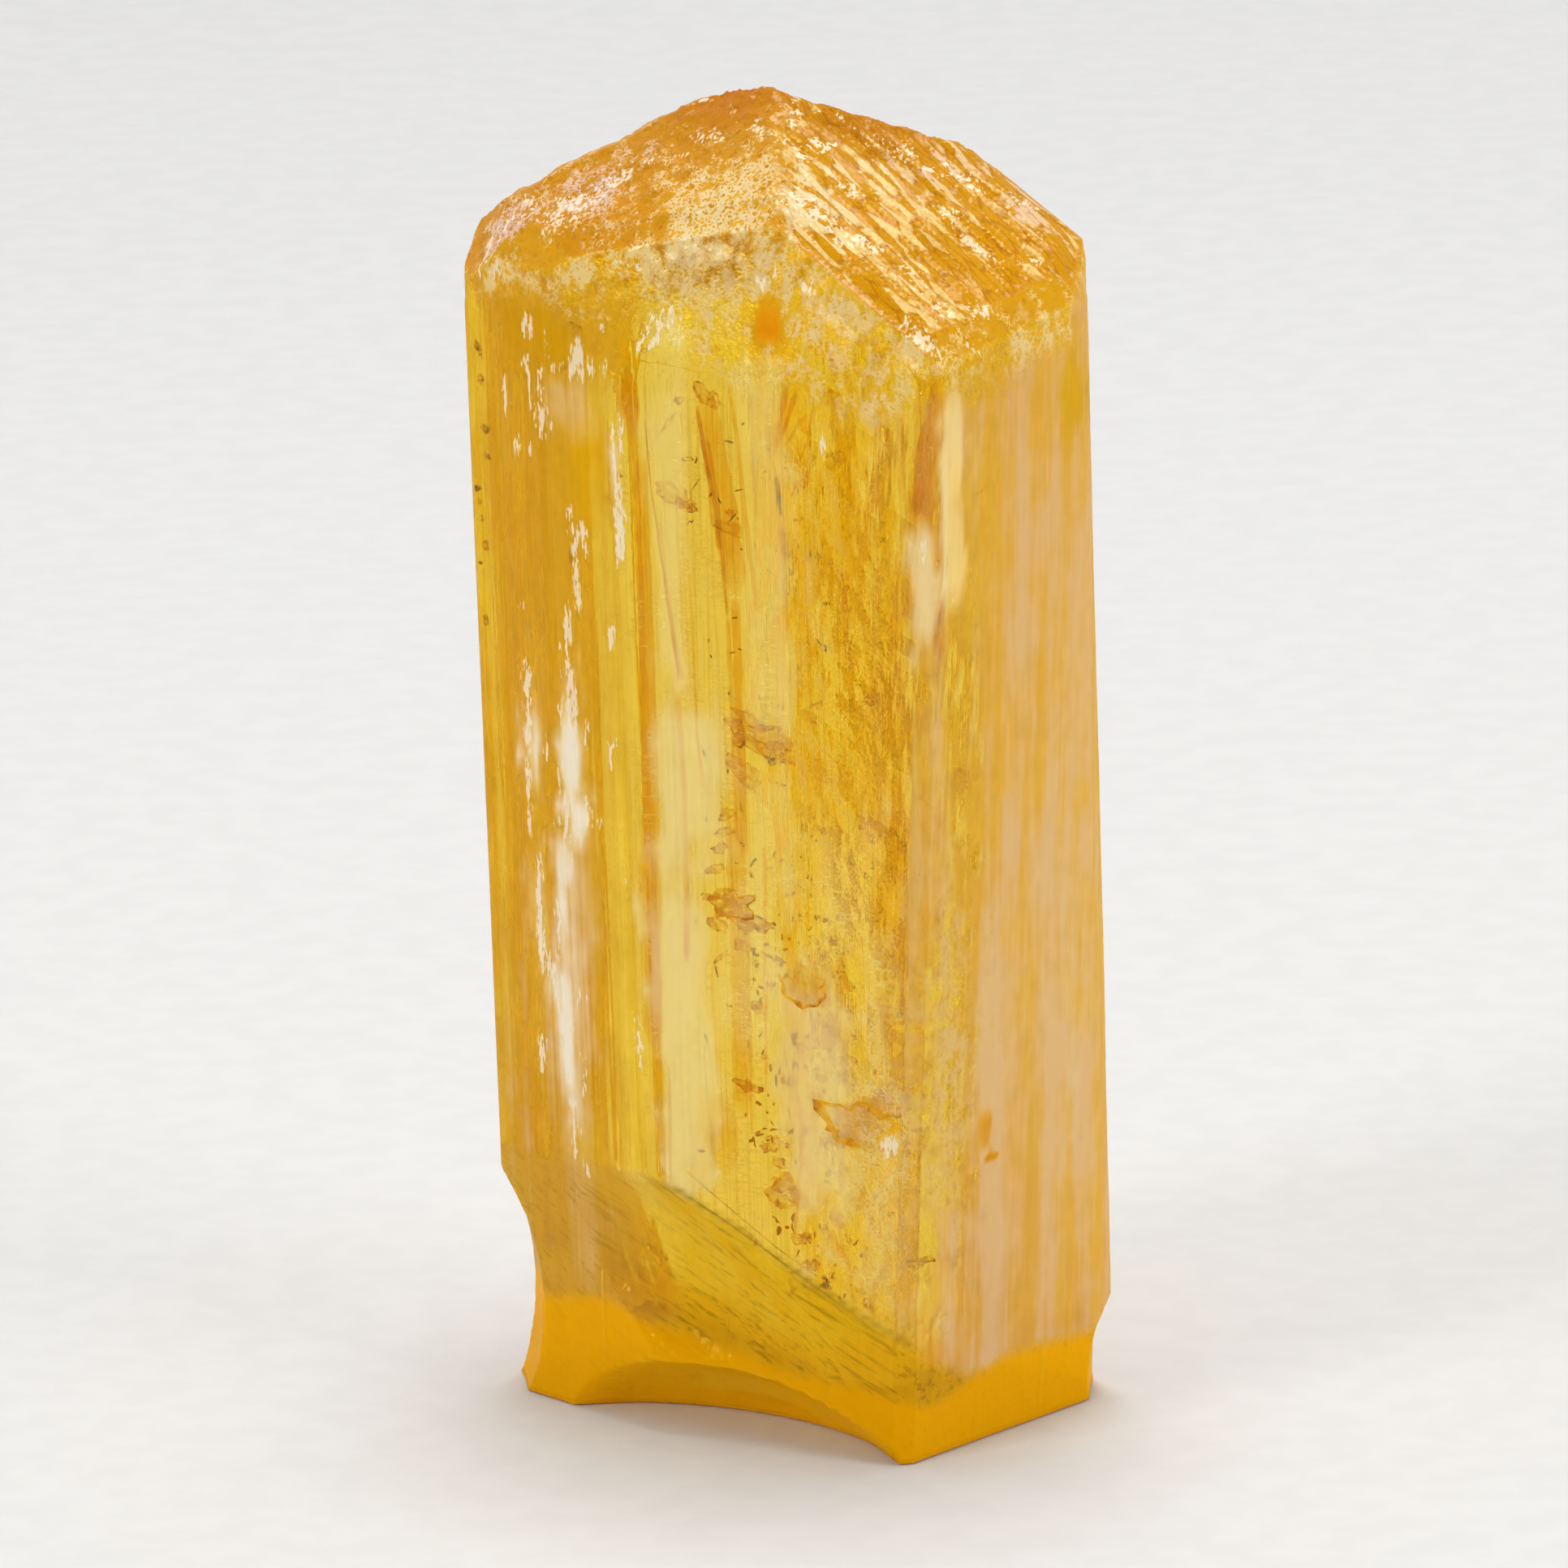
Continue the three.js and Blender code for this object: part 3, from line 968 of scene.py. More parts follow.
@dataclass(frozen=True)
class TopazFinish:
    """Clear golden topaz, told by its index and by what it takes out of the light.

    The tint is a thin iron stain on the skin. Haze lies just under a rubbed, etched or broken
    skin, with paler streaks and flecks in it that are in part painted glints and sheen, and the
    white marks are where the skin is white: crazed frost in part, painted glints in part.
    """

    ior: float = IOR
    absorbed: Colour = (0.998, 0.978, 0.2)
    density: float = 240.0
    gleam: Colour = (1.0, 0.68, 0.08)
    polish: float = 0.012
    rubbed: float = 0.4
    # dark colour of the etch cells' edges, painted shade in the cracks between them, and of small dark
    # specks
    crevice_shade: Colour = (0.46, 0.16, 0.004)
    # colour of the white marks, which are in part painted glints
    frost_white: Colour = (0.97, 0.84, 0.62)
    frost_cover: float = 0.75
    shadow: Colour = (0.33, 0.22, 0.01)
    scratch: Colour = (0.6, 0.37, 0.02)
    scratch_cover: float = 0.65
    shard_size: tuple[float, float] = (0.8, 0.15)
    tear_size: Triple = (2.2, 0.15, 0.15)
    tear_turn: Triple = (0.0, 0.472, -0.435)
    bump_height: float = 0.05 * MM

    def build(self) -> bpy.types.Material:
        """Makes the material. Returns: it."""
        material, sheet = new_material("golden_topaz")
        skin = SkinWires.lay(sheet)
        shard, edge = sheet.shards(self.shard_size, ETCH_TURN, 0.45)
        light = self._pale_and_glint(skin, shard)
        haze = self._haze(sheet, skin, light, edge)
        bump = self._bump(sheet, skin)
        veiled = sheet.mix_shader(
            self._cover(skin, light),
            self._clear(sheet, skin, bump),
            self._hazy(sheet, skin, haze, bump),
        )
        # white marks, in part painted glints and highlights
        frost = self._frost(skin)
        white_frost_and_glint = self._white_frost_and_glint_shader(sheet, frost, bump)
        absorbed = {"Color": self.absorbed, "Density": self.density}
        inside = sheet.node("ShaderNodeVolumeAbsorption", absorbed)
        sheet.finish(sheet.mix_shader(frost * self.frost_cover, veiled, white_frost_and_glint), inside)
        return material

    @staticmethod
    def _pale_and_glint(skin: SkinWires, shard: Wire) -> Wire:
        """Where the haze is pale: flecks on the roof, streaks on the sides. These are in part painted
        glints and sheen, and the roof is painted lighter where it stands higher.

        Args:
            skin: its wires.
            shard: a number for each angular cell.

        Returns:
            0 to 1.
        """
        # painted glints: the pale cells, made lighter where the roof stands higher (crest), as if lit
        glint_shard = shard + skin.grit.swing(0.5) + skin.mottle.swing(1.6) + skin.crest.swing(0.4)
        glint_shard = (glint_shard + skin.pale * 0.8).ramp(0.7, 0.98)
        off_middle = skin.grit - 0.5
        worms = off_middle * off_middle * 110.0 * skin.calm
        gritty = skin.pale * 1.5 + skin.mottle.swing(4.0) + skin.crest.swing(0.5) - 0.3
        gritty = (gritty - worms).ramp(-0.15, 0.45)
        roof = gritty * (1.0 - skin.ridged) + glint_shard * skin.ridged
        side = skin.pale + skin.bands.swing(2.6) + skin.streaks.swing(1.6) + skin.blotch.swing(1.2)
        side = (side + skin.threads.swing(0.6)).ramp(0.2, 1.1)
        return roof * skin.etch + side * (skin.pale * 1.6).at_most(1.0) * (1.0 - skin.etch)

    def _haze(self, sheet: NodeSheet, skin: SkinWires, light: Wire, edge: Wire) -> object:
        """The haze's colour.

        Args:
            sheet: where the nodes go.
            skin: its wires.
            light: where it is bright.
            edge: how far an angular cell's edge is.

        Returns:
            The output.
        """
        # painted shade: the etch cells' edges and small specks darken towards the dark crevice colour
        seam = (1.0 - edge.ramp(0.02, 0.14)) * 0.8
        specks = (1.0 - skin.grit.ramp(0.3, 0.44)) * (1.0 - skin.ridged * 0.6) * skin.calm * 0.7
        lined = (seam * skin.ridged + specks) * skin.etch
        # pale flecks and streaks, in part painted glints and sheen, take the bright colour
        haze = sheet.mix_colour(light, sheet.colour("haze"), sheet.colour("bright"))
        haze = sheet.mix_colour(lined * (1.0 - light * 0.5) * 0.75, haze, self.crevice_shade)
        tears = sheet.grain(self.tear_size, 3.0, 0.8, self.tear_turn).ramp(0.5, 0.66)
        return sheet.mix_colour(tears * skin.torn * 0.7, haze, self.shadow)

    @staticmethod
    def _cover(skin: SkinWires, light: Wire) -> Wire:
        """The haze's share of the skin. Args: light: where it is bright. Returns: 0 to 1."""
        cloud = skin.bands.swing(2.0) + skin.streaks.swing(1.0) + skin.blotch.swing(1.8)
        cloud = cloud * (1.0 - skin.etch) + skin.mottle.swing(3.5) * skin.etch
        cloud = (cloud * 2.0 + 1.0).at_least(0.0).at_most(2.0)
        cover = skin.milk * (cloud * (1.0 - skin.calm) + skin.calm)
        cover = cover.at_least(light * skin.etch * 0.8).at_most(1.0)
        wisps = (skin.wisps + skin.blotch).ramp(1.0, 1.28) * 0.4
        return cover.at_least(wisps * (1.0 - skin.satin * 2.0))

    @staticmethod
    def _frost(skin: SkinWires) -> Wire:
        """Where the skin is white: crazed frost in part, painted glints and highlights in part. Args: skin:
        its wires. Returns: 0 to 1.
        """
        edge = skin.ragged.swing(2.4) + skin.splinter.swing(3.0) + skin.threads.swing(1.6)
        return (skin.frost + edge * skin.frost.ramp(0.0, 0.5)).ramp(0.6, 1.12)

    def _bump(self, sheet: NodeSheet, skin: SkinWires) -> bpy.types.NodeSocket:
        """The fine bump. Args: sheet: where. skin: its wires. Returns: the bent normal."""
        waves = skin.crinkle * (skin.mottle * 4.0 + skin.blotch * 16.0)
        height = skin.satin * skin.threads + skin.etch * skin.grit + waves
        inputs = {"Strength": 0.6, "Distance": self.bump_height, "Height": height}
        return sheet.node("ShaderNodeBump", inputs).outputs[0]

    def _clear(self, sheet: NodeSheet, skin: SkinWires, bump: object) -> bpy.types.Node:
        """Clear stone with fine scratches. Args: bump: the bent normal. Returns: the node."""
        lines = skin.lines.ramp(0.57, 0.65) * self.scratch_cover
        tint = sheet.mix_colour(lines * (1.0 - skin.satin), sheet.colour("tint"), self.scratch)
        rough = self.polish + skin.satin * skin.streaks.ramp(0.3, 0.7) * 0.3 + skin.etch * 0.15
        inputs = {
            "Base Color": tint,
            "Roughness": rough,
            "IOR": self.ior,
            "Specular Tint": (*self.gleam, 1.0),
            "Transmission Weight": 1.0,
            "Normal": bump,
        }
        return sheet.node("ShaderNodeBsdfPrincipled", inputs)

    def _hazy(
        self, sheet: NodeSheet, skin: SkinWires, haze: object, bump: object
    ) -> bpy.types.Node:
        """Haze, half lit and half glowing. Args: haze: its colour. Returns: the node."""
        inputs = {
            "Base Color": haze,
            "Roughness": self.rubbed,
            "Specular IOR Level": 0.0,
            "Coat Weight": skin.etch * 0.4 * (1.0 - skin.ridged * 0.5),
            "Coat Roughness": 0.08,
            "Coat IOR": self.ior,
            "Normal": bump,
        }
        lit = sheet.node("ShaderNodeBsdfPrincipled", inputs)
        glowing = sheet.node("ShaderNodeBsdfTranslucent", {"Color": haze})
        return sheet.mix_shader(skin.glow, lit, glowing)

    def _white_frost_and_glint_shader(self, sheet: NodeSheet, frost: Wire, bump: object) -> bpy.types.Node:
        """White skin: crazed frost in part, painted glints in part. Args: frost: where it is. bump: the
        normal. Returns: the node.
        """
        colour = sheet.mix_colour(frost * 0.9, sheet.colour("bright"), self.frost_white)
        inputs = {"Base Color": colour, "Roughness": self.rubbed, "Normal": bump}
        return sheet.node("ShaderNodeBsdfPrincipled", inputs)


@dataclass(frozen=True)
class Skin:
    """What the skin of one face is like."""

    azimuth: float
    tint: Colour
    haze: Colour
    bright: Colour
    milk: float
    glow: float
    satin: float
    pale: float
    etch: float = 0.0
    calm: float = 0.0
    torn: float = 0.0
    crinkle: float = 0.0


CLEAR = (0.92, 0.645, 0.43)
GOLDEN = (1.0, 0.8, 0.24)
AMBER = (1.0, 0.7, 0.14)
CREAM = (0.96, 0.78, 0.4)
ROSE = (1.0, 0.76, 0.45)
HONEY = (0.95, 0.64, 0.06)

# the pale streaks on the faces towards the right (43.5 and 92), in ROSE, are in part painted sheen
SIDE_SKINS: tuple[Skin, ...] = (
    Skin(-152.15, GOLDEN, (0.82, 0.47, 0.005), HONEY, 0.38, 0.85, 0.3, 0.2),
    Skin(-133.4, AMBER, (0.82, 0.43, 0.005), HONEY, 0.45, 0.85, 0.4, 0.2),
    Skin(-92.0, AMBER, (0.74, 0.38, 0.004), HONEY, 0.4, 0.5, 0.4, 0.3, 0.0, 0.3),
    Skin(-46.6, AMBER, (0.66, 0.32, 0.002), HONEY, 0.3, 0.3, 0.25, 0.22, 0.0, 0.1),
    Skin(-30.0, CLEAR, (0.86, 0.56, 0.08), CREAM, 0.04, 0.3, 0.02, 0.2),
    Skin(-20.0, CLEAR, (0.86, 0.56, 0.08), CREAM, 0.04, 0.3, 0.02, 0.2),
    Skin(8.0, GOLDEN, (0.94, 0.62, 0.08), CREAM, 0.66, 0.5, 0.1, 0.45, 0.0, 0.5),
    Skin(36.0, GOLDEN, (0.94, 0.6, 0.07), CREAM, 0.6, 0.45, 0.2, 0.45, 0.0, 0.6),
    Skin(43.5, GOLDEN, (1.0, 0.64, 0.13), ROSE, 0.78, 0.55, 0.25, 0.55, 0.0, 0.75),
    Skin(92.0, GOLDEN, (1.0, 0.64, 0.13), ROSE, 0.8, 0.6, 0.5, 0.55, 0.0, 0.75),
    Skin(133.4, (1.0, 0.74, 0.08), (0.9, 0.56, 0.003), HONEY, 0.62, 0.9, 0.1, 0.15, 0.0, 0.2),
    Skin(139.0, (1.0, 0.76, 0.2), (0.9, 0.58, 0.005), HONEY, 0.3, 0.9, 0.05, 0.2),
    Skin(144.0, CLEAR, (0.9, 0.6, 0.08), CREAM, 0.04, 0.8, 0.02, 0.2),
    Skin(170.0, CLEAR, (0.9, 0.6, 0.08), CREAM, 0.04, 0.8, 0.02, 0.2),
)


@dataclass(frozen=True)
class Patch:
    """A soft-edged part of the skin that differs from the rest of its face."""

    centre: Triple
    radius: Triple
    values: dict[str, float | Colour]
    crispness: float = 1.5
    corners: float = 2.0  # 2 for a round outline, more for a boxy one

    def share(self, places: np.ndarray, ragged: np.ndarray) -> np.ndarray:
        """How far inside places lie.

        Args:
            places: points in mm.
            ragged: how much farther off each counts, around 1.

        Returns:
            1 in the middle, 0 far off.
        """
        gap = np.abs((places - np.array(self.centre)) / np.array(self.radius))
        apart = (gap**self.corners).sum(1) ** (2.0 / self.corners)
        return np.exp(-((ragged**2 * apart) ** self.crispness))


def spot(
    x: int,
    y: int,
    wide: float,
    tall: float,
    values: dict[str, float | Colour],
    crispness: float = 1.5,
    corners: float = 2.0,
) -> Patch:
    """A patch round the place that is seen at a pixel.

    Args:
        x, y: the pixel.
        wide, tall: half the patch's width and height in mm.
        values, crispness, corners: as for any patch.

    Returns:
        The patch.
    """
    return Patch(SIGHT.place(x, y), (wide, wide, tall), values, crispness, corners)


# colours of the roof's pale flecks, which are in part painted glints
SHELL_PINK = (0.95, 0.7, 0.45)
PALE_GOLD = (1.0, 0.86, 0.44)
# painted light: a pale gold patch that brightens the skin along the front rim of the roof
PAINTED_SUNLIT_PATCH = Patch(
    (-1.7, -2.65, 26.9),
    (1.5, 0.8, 0.5),
    dict(pale=0.95, milk=0.9, bright=PALE_GOLD, haze=(0.95, 0.62, 0.08)),
)
# patches of the roof; where they raise pale, more of the flecks are painted glints
ROOF_PATCHES: tuple[Patch, ...] = (
    Patch((-0.9, -2.3, 27.8), (1.9, 1.4, 1.4), dict(pale=0.8, bright=PALE_GOLD, haze=(0.9, 0.52, 0.02))),
    # painted light: brightens the roof along its front rim
    Patch((-1.3, -2.9, 27.2), (2.0, 0.7, 0.6), dict(pale=0.9, bright=PALE_GOLD, milk=0.85)),
    PAINTED_SUNLIT_PATCH,
    Patch((0.9, -2.7, 28.0), (1.3, 1.1, 1.0), dict(pale=0.5, bright=(1.0, 0.88, 0.48))),
    Patch((4.9, -3.1, 26.5), (1.1, 1.1, 1.0), dict(pale=-0.15, milk=0.7, haze=(0.82, 0.42, 0.003))),
    Patch((3.6, -1.0, 28.3), (1.1, 0.8, 0.7), dict(pale=0.55, bright=SHELL_PINK)),
    Patch((5.5, -1.2, 27.5), (0.7, 0.9, 0.8), dict(pale=0.5, bright=SHELL_PINK)),
    Patch((-3.9, 0.0, 27.8), (1.3, 0.9, 0.8), dict(pale=0.55, bright=(0.88, 0.68, 0.58))),
    Patch((-5.7, 0.5, 26.9), (0.8, 0.9, 0.9), dict(pale=0.55, bright=(0.88, 0.68, 0.58))),
    Patch((-4.9, -0.6, 26.7), (0.8, 0.7, 0.6), dict(pale=-0.3)),
    Patch((-0.7, 0.6, 29.6), (1.5, 1.1, 0.9), dict(pale=-0.3, haze=(0.66, 0.24, 0.006))),
    Patch((1.9, -0.1, 29.2), (1.9, 1.1, 1.0), dict(pale=-0.3, haze=(0.66, 0.28, 0.006))),
)
SMOOTH_AMBER = dict(pale=0.05, milk=0.75, haze=(0.76, 0.4, 0.004), calm=0.7)
CRUMBLED = dict(pale=0.5, milk=0.6, haze=(0.88, 0.55, 0.012), bright=CREAM, etch=0.85, calm=0.4)
# WINDOW, WINDOW_LOW, CLEARER and LENS are clear windows; their cream haze is painted light, the bright
# surround seen through the stone, and LENS is mostly that painted cream
WINDOW = dict(milk=0.25, haze=(1.0, 0.86, 0.3), bright=(1.0, 0.92, 0.52), pale=0.4, glow=0.1, calm=0.85)
LENS = dict(milk=0.78, haze=(1.0, 0.74, 0.27), bright=(1.0, 0.84, 0.46), pale=0.5, glow=0.1, calm=1.0)
# white marks on the left face, in part painted highlights
WHITE_MARK_AND_GLINT = dict(milk=0.75, haze=(1.0, 0.7, 0.24), bright=(1.0, 0.92, 0.74), pale=0.75, glow=0.15, calm=0.2)
WINDOW_LOW = dict(WINDOW, milk=0.4, haze=(1.0, 0.9, 0.48))
CLEARER = dict(WINDOW, milk=0.2, crinkle=0.5)
ORANGE_SPOT = dict(milk=0.85, haze=(0.92, 0.46, 0.004), pale=-0.8, etch=0.0, calm=1.0)
PALE_CHIP = dict(milk=0.85, haze=(1.0, 0.7, 0.3), pale=0.2, calm=1.0)
DEEP_ORANGE = dict(pale=-1.0, milk=0.92, haze=(0.84, 0.36, 0.002), etch=0.0, calm=1.0, glow=0.1)
GRITTY = dict(CRUMBLED, calm=0.1)
LOW_GOLD = dict(GRITTY, milk=0.2, haze=(0.98, 0.76, 0.18), pale=0.55, etch=0.7, crinkle=0.15)
LOW_AMBER = dict(GRITTY, milk=0.85, haze=(0.94, 0.6, 0.04), bright=(1.0, 0.82, 0.42), pale=0.62, etch=0.6)
SIDE_PATCHES: tuple[Patch, ...] = (
    Patch((-4.9, -1.1, 24.8), (1.4, 1.6, 1.1), SMOOTH_AMBER),
    Patch((-4.2, -1.8, 22.2), (0.8, 0.8, 1.7), dict(SMOOTH_AMBER, haze=(0.88, 0.49, 0.006))),
    PAINTED_SUNLIT_PATCH,
    Patch((-3.2, -2.0, 25.6), (1.0, 0.8, 0.7), dict(SMOOTH_AMBER, haze=(0.72, 0.4, 0.03), milk=0.45)),
    Patch((-4.5, -1.5, 23.4), (1.2, 1.2, 0.7), dict(pale=0.5, milk=0.45, bright=CREAM)),
    Patch((-0.9, -3.3, 26.4), (2.2, 1.0, 0.7), dict(CRUMBLED, pale=0.62)),
    Patch((1.9, -4.4, 25.9), (1.5, 1.1, 0.8), CRUMBLED),
    Patch((1.9, -4.9, 24.6), (1.3, 0.8, 0.9), dict(CRUMBLED, milk=0.4, bright=ROSE, pale=0.35)),
    Patch((-0.6, -3.6, 24.9), (0.8, 0.8, 0.6), dict(CRUMBLED, milk=0.35, pale=0.2)),
    Patch((4.2, -4.9, 24.9), (1.3, 0.9, 0.7), dict(CRUMBLED, milk=0.45, pale=0.25)),
    Patch((-5.9, 0.0, 8.0), (1.4, 1.4, 4.5), dict(pale=0.5, milk=0.55, bright=ROSE)),
    Patch((-5.0, -1.0, 10.5), (0.9, 0.9, 3.6), dict(pale=0.55, milk=0.55, bright=ROSE)),
    Patch((-4.6, -1.4, 5.8), (1.4, 1.2, 1.6), dict(pale=0.35, milk=0.5, haze=(0.8, 0.46, 0.02))),
    Patch((3.9, -5.4, 16.0), (0.7, 0.7, 9.0), dict(pale=0.45, milk=0.16)),
    Patch((5.2, -2.9, 7.5), (2.6, 2.6, 7.0), dict(pale=0.75, milk=0.88, haze=(1.0, 0.68, 0.19))),
    # three thin pale strips: painted highlights running down the right faces
    Patch((5.85, -2.14, 9.0), (0.24, 0.24, 2.5), dict(pale=1.3, milk=0.9, bright=(1.0, 0.86, 0.6))),
    Patch((5.31, -2.65, 20.8), (0.14, 0.14, 2.8), dict(pale=1.3, milk=0.9, bright=(1.0, 0.84, 0.55))),
    Patch((4.6, -4.5, 15.5), (0.12, 0.12, 2.2), dict(pale=1.2, milk=0.8, bright=(1.0, 0.84, 0.58))),
    Patch((1.5, -5.1, 17.0), (1.4, 1.2, 6.5), dict(crinkle=1.0, milk=0.12)),
    Patch((1.7, -5.2, 7.5), (1.6, 1.2, 4.2), LOW_GOLD),
    Patch((3.6, -5.3, 8.5), (0.8, 0.9, 5.5), LOW_AMBER),
    Patch((3.2, -5.9, 21.5), (1.0, 0.9, 3.8), dict(milk=0.2)),
    Patch((6.2, -2.6, 23.6), (0.6, 0.9, 1.1), dict(pale=0.0, milk=0.6, haze=(0.86, 0.54, 0.004))),
    # clear windows down the front faces, with painted cream light in them
    spot(820, 540, 0.56, 1.73, WINDOW, 2.5, 6.0),
    spot(822, 650, 0.44, 1.09, WINDOW, 2.5, 6.0),
    spot(824, 740, 0.32, 2.0, WINDOW, 2.5, 6.0),
    spot(853, 960, 0.8, 2.18, WINDOW_LOW, 2.5, 6.0),
    spot(842, 1200, 0.72, 2.73, WINDOW_LOW, 2.5, 6.0),
    spot(846, 1370, 0.6, 1.82, WINDOW_LOW, 2.5, 6.0),
    spot(932, 506, 0.52, 0.9, WINDOW, 2.5, 6.0),
    spot(943, 600, 0.56, 1.45, WINDOW, 2.5, 6.0),
    spot(946, 740, 0.56, 2.36, WINDOW, 2.5, 6.0),
    spot(948, 870, 0.44, 0.91, WINDOW, 2.5, 6.0),
    spot(947, 1020, 0.56, 1.45, WINDOW, 2.5, 6.0),
    spot(926, 1180, 0.68, 2.36, WINDOW, 2.5, 6.0),
    spot(1005, 1350, 0.96, 3.09, WINDOW_LOW, 2.5, 6.0),
    spot(1092, 1450, 0.6, 3.09, WINDOW, 2.5, 6.0),
    spot(1137, 725, 0.34, 1.36, LENS, 4.0),
    spot(1175, 560, 0.36, 1.9, LENS, 4.0),
    spot(1178, 680, 0.4, 1.64, LENS, 4.0),
    # white marks on the left face: crazed white in part, painted highlights in part
    spot(654, 900, 0.31, 1.73, WHITE_MARK_AND_GLINT),
    spot(702, 930, 0.36, 1.64, WHITE_MARK_AND_GLINT),
    spot(662, 1130, 0.33, 1.45, WHITE_MARK_AND_GLINT),
    spot(692, 1120, 0.26, 1.27, WHITE_MARK_AND_GLINT),
    spot(697, 1290, 0.28, 1.09, WHITE_MARK_AND_GLINT),
    spot(688, 1210, 0.36, 0.82, WHITE_MARK_AND_GLINT),
    spot(716, 1010, 0.31, 0.55, WHITE_MARK_AND_GLINT),
    spot(757, 560, 0.21, 1.09, WHITE_MARK_AND_GLINT),
    spot(764, 650, 0.16, 0.82, WHITE_MARK_AND_GLINT),
    Patch((-0.2, -3.9, 25.65), (0.4, 0.6, 0.46), dict(DEEP_ORANGE, haze=(0.88, 0.3, 0.003)), 2.5),
    spot(1215, 1395, 0.32, 0.33, ORANGE_SPOT, 2.5),
    spot(1222, 1425, 0.24, 0.13, ORANGE_SPOT, 2.5),
    spot(792, 1075, 0.14, 0.33, ORANGE_SPOT),
    spot(994, 1216, 0.42, 0.36, dict(ORANGE_SPOT, milk=0.5), 2.0),
    spot(768, 1600, 0.28, 0.62, PALE_CHIP),
    spot(1040, 1100, 0.76, 1.73, CLEARER, 2.0, 6.0),
)


@dataclass(frozen=True)
class Weathering:
    """Where the crystal's skin is satin, stained, frosted, hazy or broken, and where glints, sheen and
    light are painted on it.
    """

    # x, then the height in mm where the orange foot and the olive break above it end
    foot_edge: tuple[tuple[float, ...], tuple[float, ...]] = (
        (-6.2, -4.3, -2.5, -0.4, 1.0, 2.6, 3.6, 6.5),
        (2.4, 2.85, 2.36, 1.61, 1.6, 1.3, 1.6, 1.6),
    )
    break_edge: tuple[tuple[float, ...], tuple[float, ...]] = (
        (-6.2, -5.3, -2.9, -1.35, 0.0, 1.1, 2.3, 3.4),
        (5.6, 5.8, 5.7, 4.95, 4.0, 3.4, 2.7, 1.6),
    )
    crown_edge: tuple[tuple[float, ...], tuple[float, ...]] = (
        (-6.5, -5.2, -4.2, -3.2, -2.2, -1.0, 0.6, 2.0, 3.2, 4.4, 6.4),
        (25.7, 25.6, 24.6, 25.4, 24.9, 24.8, 24.4, 23.9, 24.4, 24.5, 24.7),
    )
    foot: Skin = Skin(
        0.0, (1.0, 0.58, 0.03), (1.0, 0.5, 0.001), HONEY, 0.84, 0.2, 0.03, 0.0, 0.0, 1.0, 0.12
    )
    tan: Skin = Skin(
        0.0, (0.98, 0.7, 0.14), (0.74, 0.43, 0.05), ROSE, 0.7, 0.3, 0.1, 0.2, 0.0, 0.8, 0.6
    )
    olive: Skin = Skin(
        0.0, (0.96, 0.7, 0.1), (0.91, 0.565, 0.012), CREAM, 0.74, 0.4, 0.1, 0.02, 0.0, 0.8, 1.0
    )
    back_foot: Skin = Skin(
        0.0, (1.0, 0.6, 0.05), (0.94, 0.46, 0.002), HONEY, 0.8, 0.85, 0.05, 0.0, 0.0, 0.9
    )
    roof_left: Skin = Skin(
        0.0, AMBER, (0.74, 0.35, 0.003), (0.98, 0.72, 0.26), 0.74, 0.2, 0.0, 0.2, 1.0, 1.0
    )
    roof_right: Skin = Skin(
        0.0, AMBER, (0.76, 0.39, 0.003), (1.0, 0.76, 0.26), 0.74, 0.2, 0.0, 0.2, 1.0, 1.0
    )
    crown: Skin = Skin(
        0.0, GOLDEN, (0.98, 0.57, 0.008), (1.0, 0.82, 0.36), 0.76, 0.35, 0.2, 0.42, 0.9, 0.35
    )

    def map(
        self, places: np.ndarray, azimuth: np.ndarray, roofed: np.ndarray, ridged: np.ndarray
    ) -> dict[str, np.ndarray]:
        """Works out the point attributes.

        Args:
            places: points in mm.
            azimuth: their normals' azimuths.
            roofed: how far each of them belongs to the roof, 0 to 1.
            ridged: the share of ridges on each.

        Returns:
            One array for each attribute, three wide for a colour.
        """
        x, _, z = places.T
        wave = grain_at(places, (0.35, 0.35, 0.25), 2)
        front = np.cos(np.radians(azimuth)) > -0.1
        where = [skin.azimuth for skin in SIDE_SKINS]
        out: dict[str, np.ndarray] = {}
        for name in [one.name for one in fields(Skin)[1:]]:
            table = np.array([getattr(skin, name) for skin in SIDE_SKINS], float).reshape(len(where), -1)
            out[name] = np.stack([np.interp(azimuth, where, c, period=360.0) for c in table.T], 1)
        ragged = 1.0 + 0.5 * grain_at(places + 31.0, (1.7, 1.7, 1.2), 3)
        crumb = z + 0.45 * wave - np.interp(x, *self.crown_edge)
        self._blend(out, smooth_step(-0.35, 0.35, crumb) * front * (x < 6.4), vars(self.crown))
        for patch in SIDE_PATCHES:
            self._blend(out, patch.share(places, ragged) * front * (1.0 - roofed), patch.values)
        top = np.interp(x, *self.break_edge)
        low = np.interp(x, *self.foot_edge)
        broken = front * smooth_step(0.25, -0.25, z - top + 0.15 * wave)
        left = smooth_step(-2.6, -4.2, x)
        self._blend(out, broken * left, vars(self.tan))
        self._blend(out, broken * (1.0 - left), vars(self.olive))
        lip = np.exp(-(((z - top + 0.15 * wave) / 0.08) ** 2)) * front * (1.0 - left) * (x < 2.2)
        self._blend(out, 0.8 * lip, {"haze": (0.4, 0.28, 0.02), "milk": 0.85, "pale": 0.0})
        self._blend(out, front * smooth_step(0.2, -0.2, z - low + 0.2 * wave), vars(self.foot))
        self._blend(out, ~front * smooth_step(1.4, 0.7, z + 0.3 * wave), vars(self.back_foot))
        self._blend(out, roofed * (1.0 - ridged), vars(self.roof_left))
        self._blend(out, roofed * ridged, vars(self.roof_right))
        for patch in ROOF_PATCHES:
            self._blend(out, patch.share(places, ragged) * roofed, patch.values)
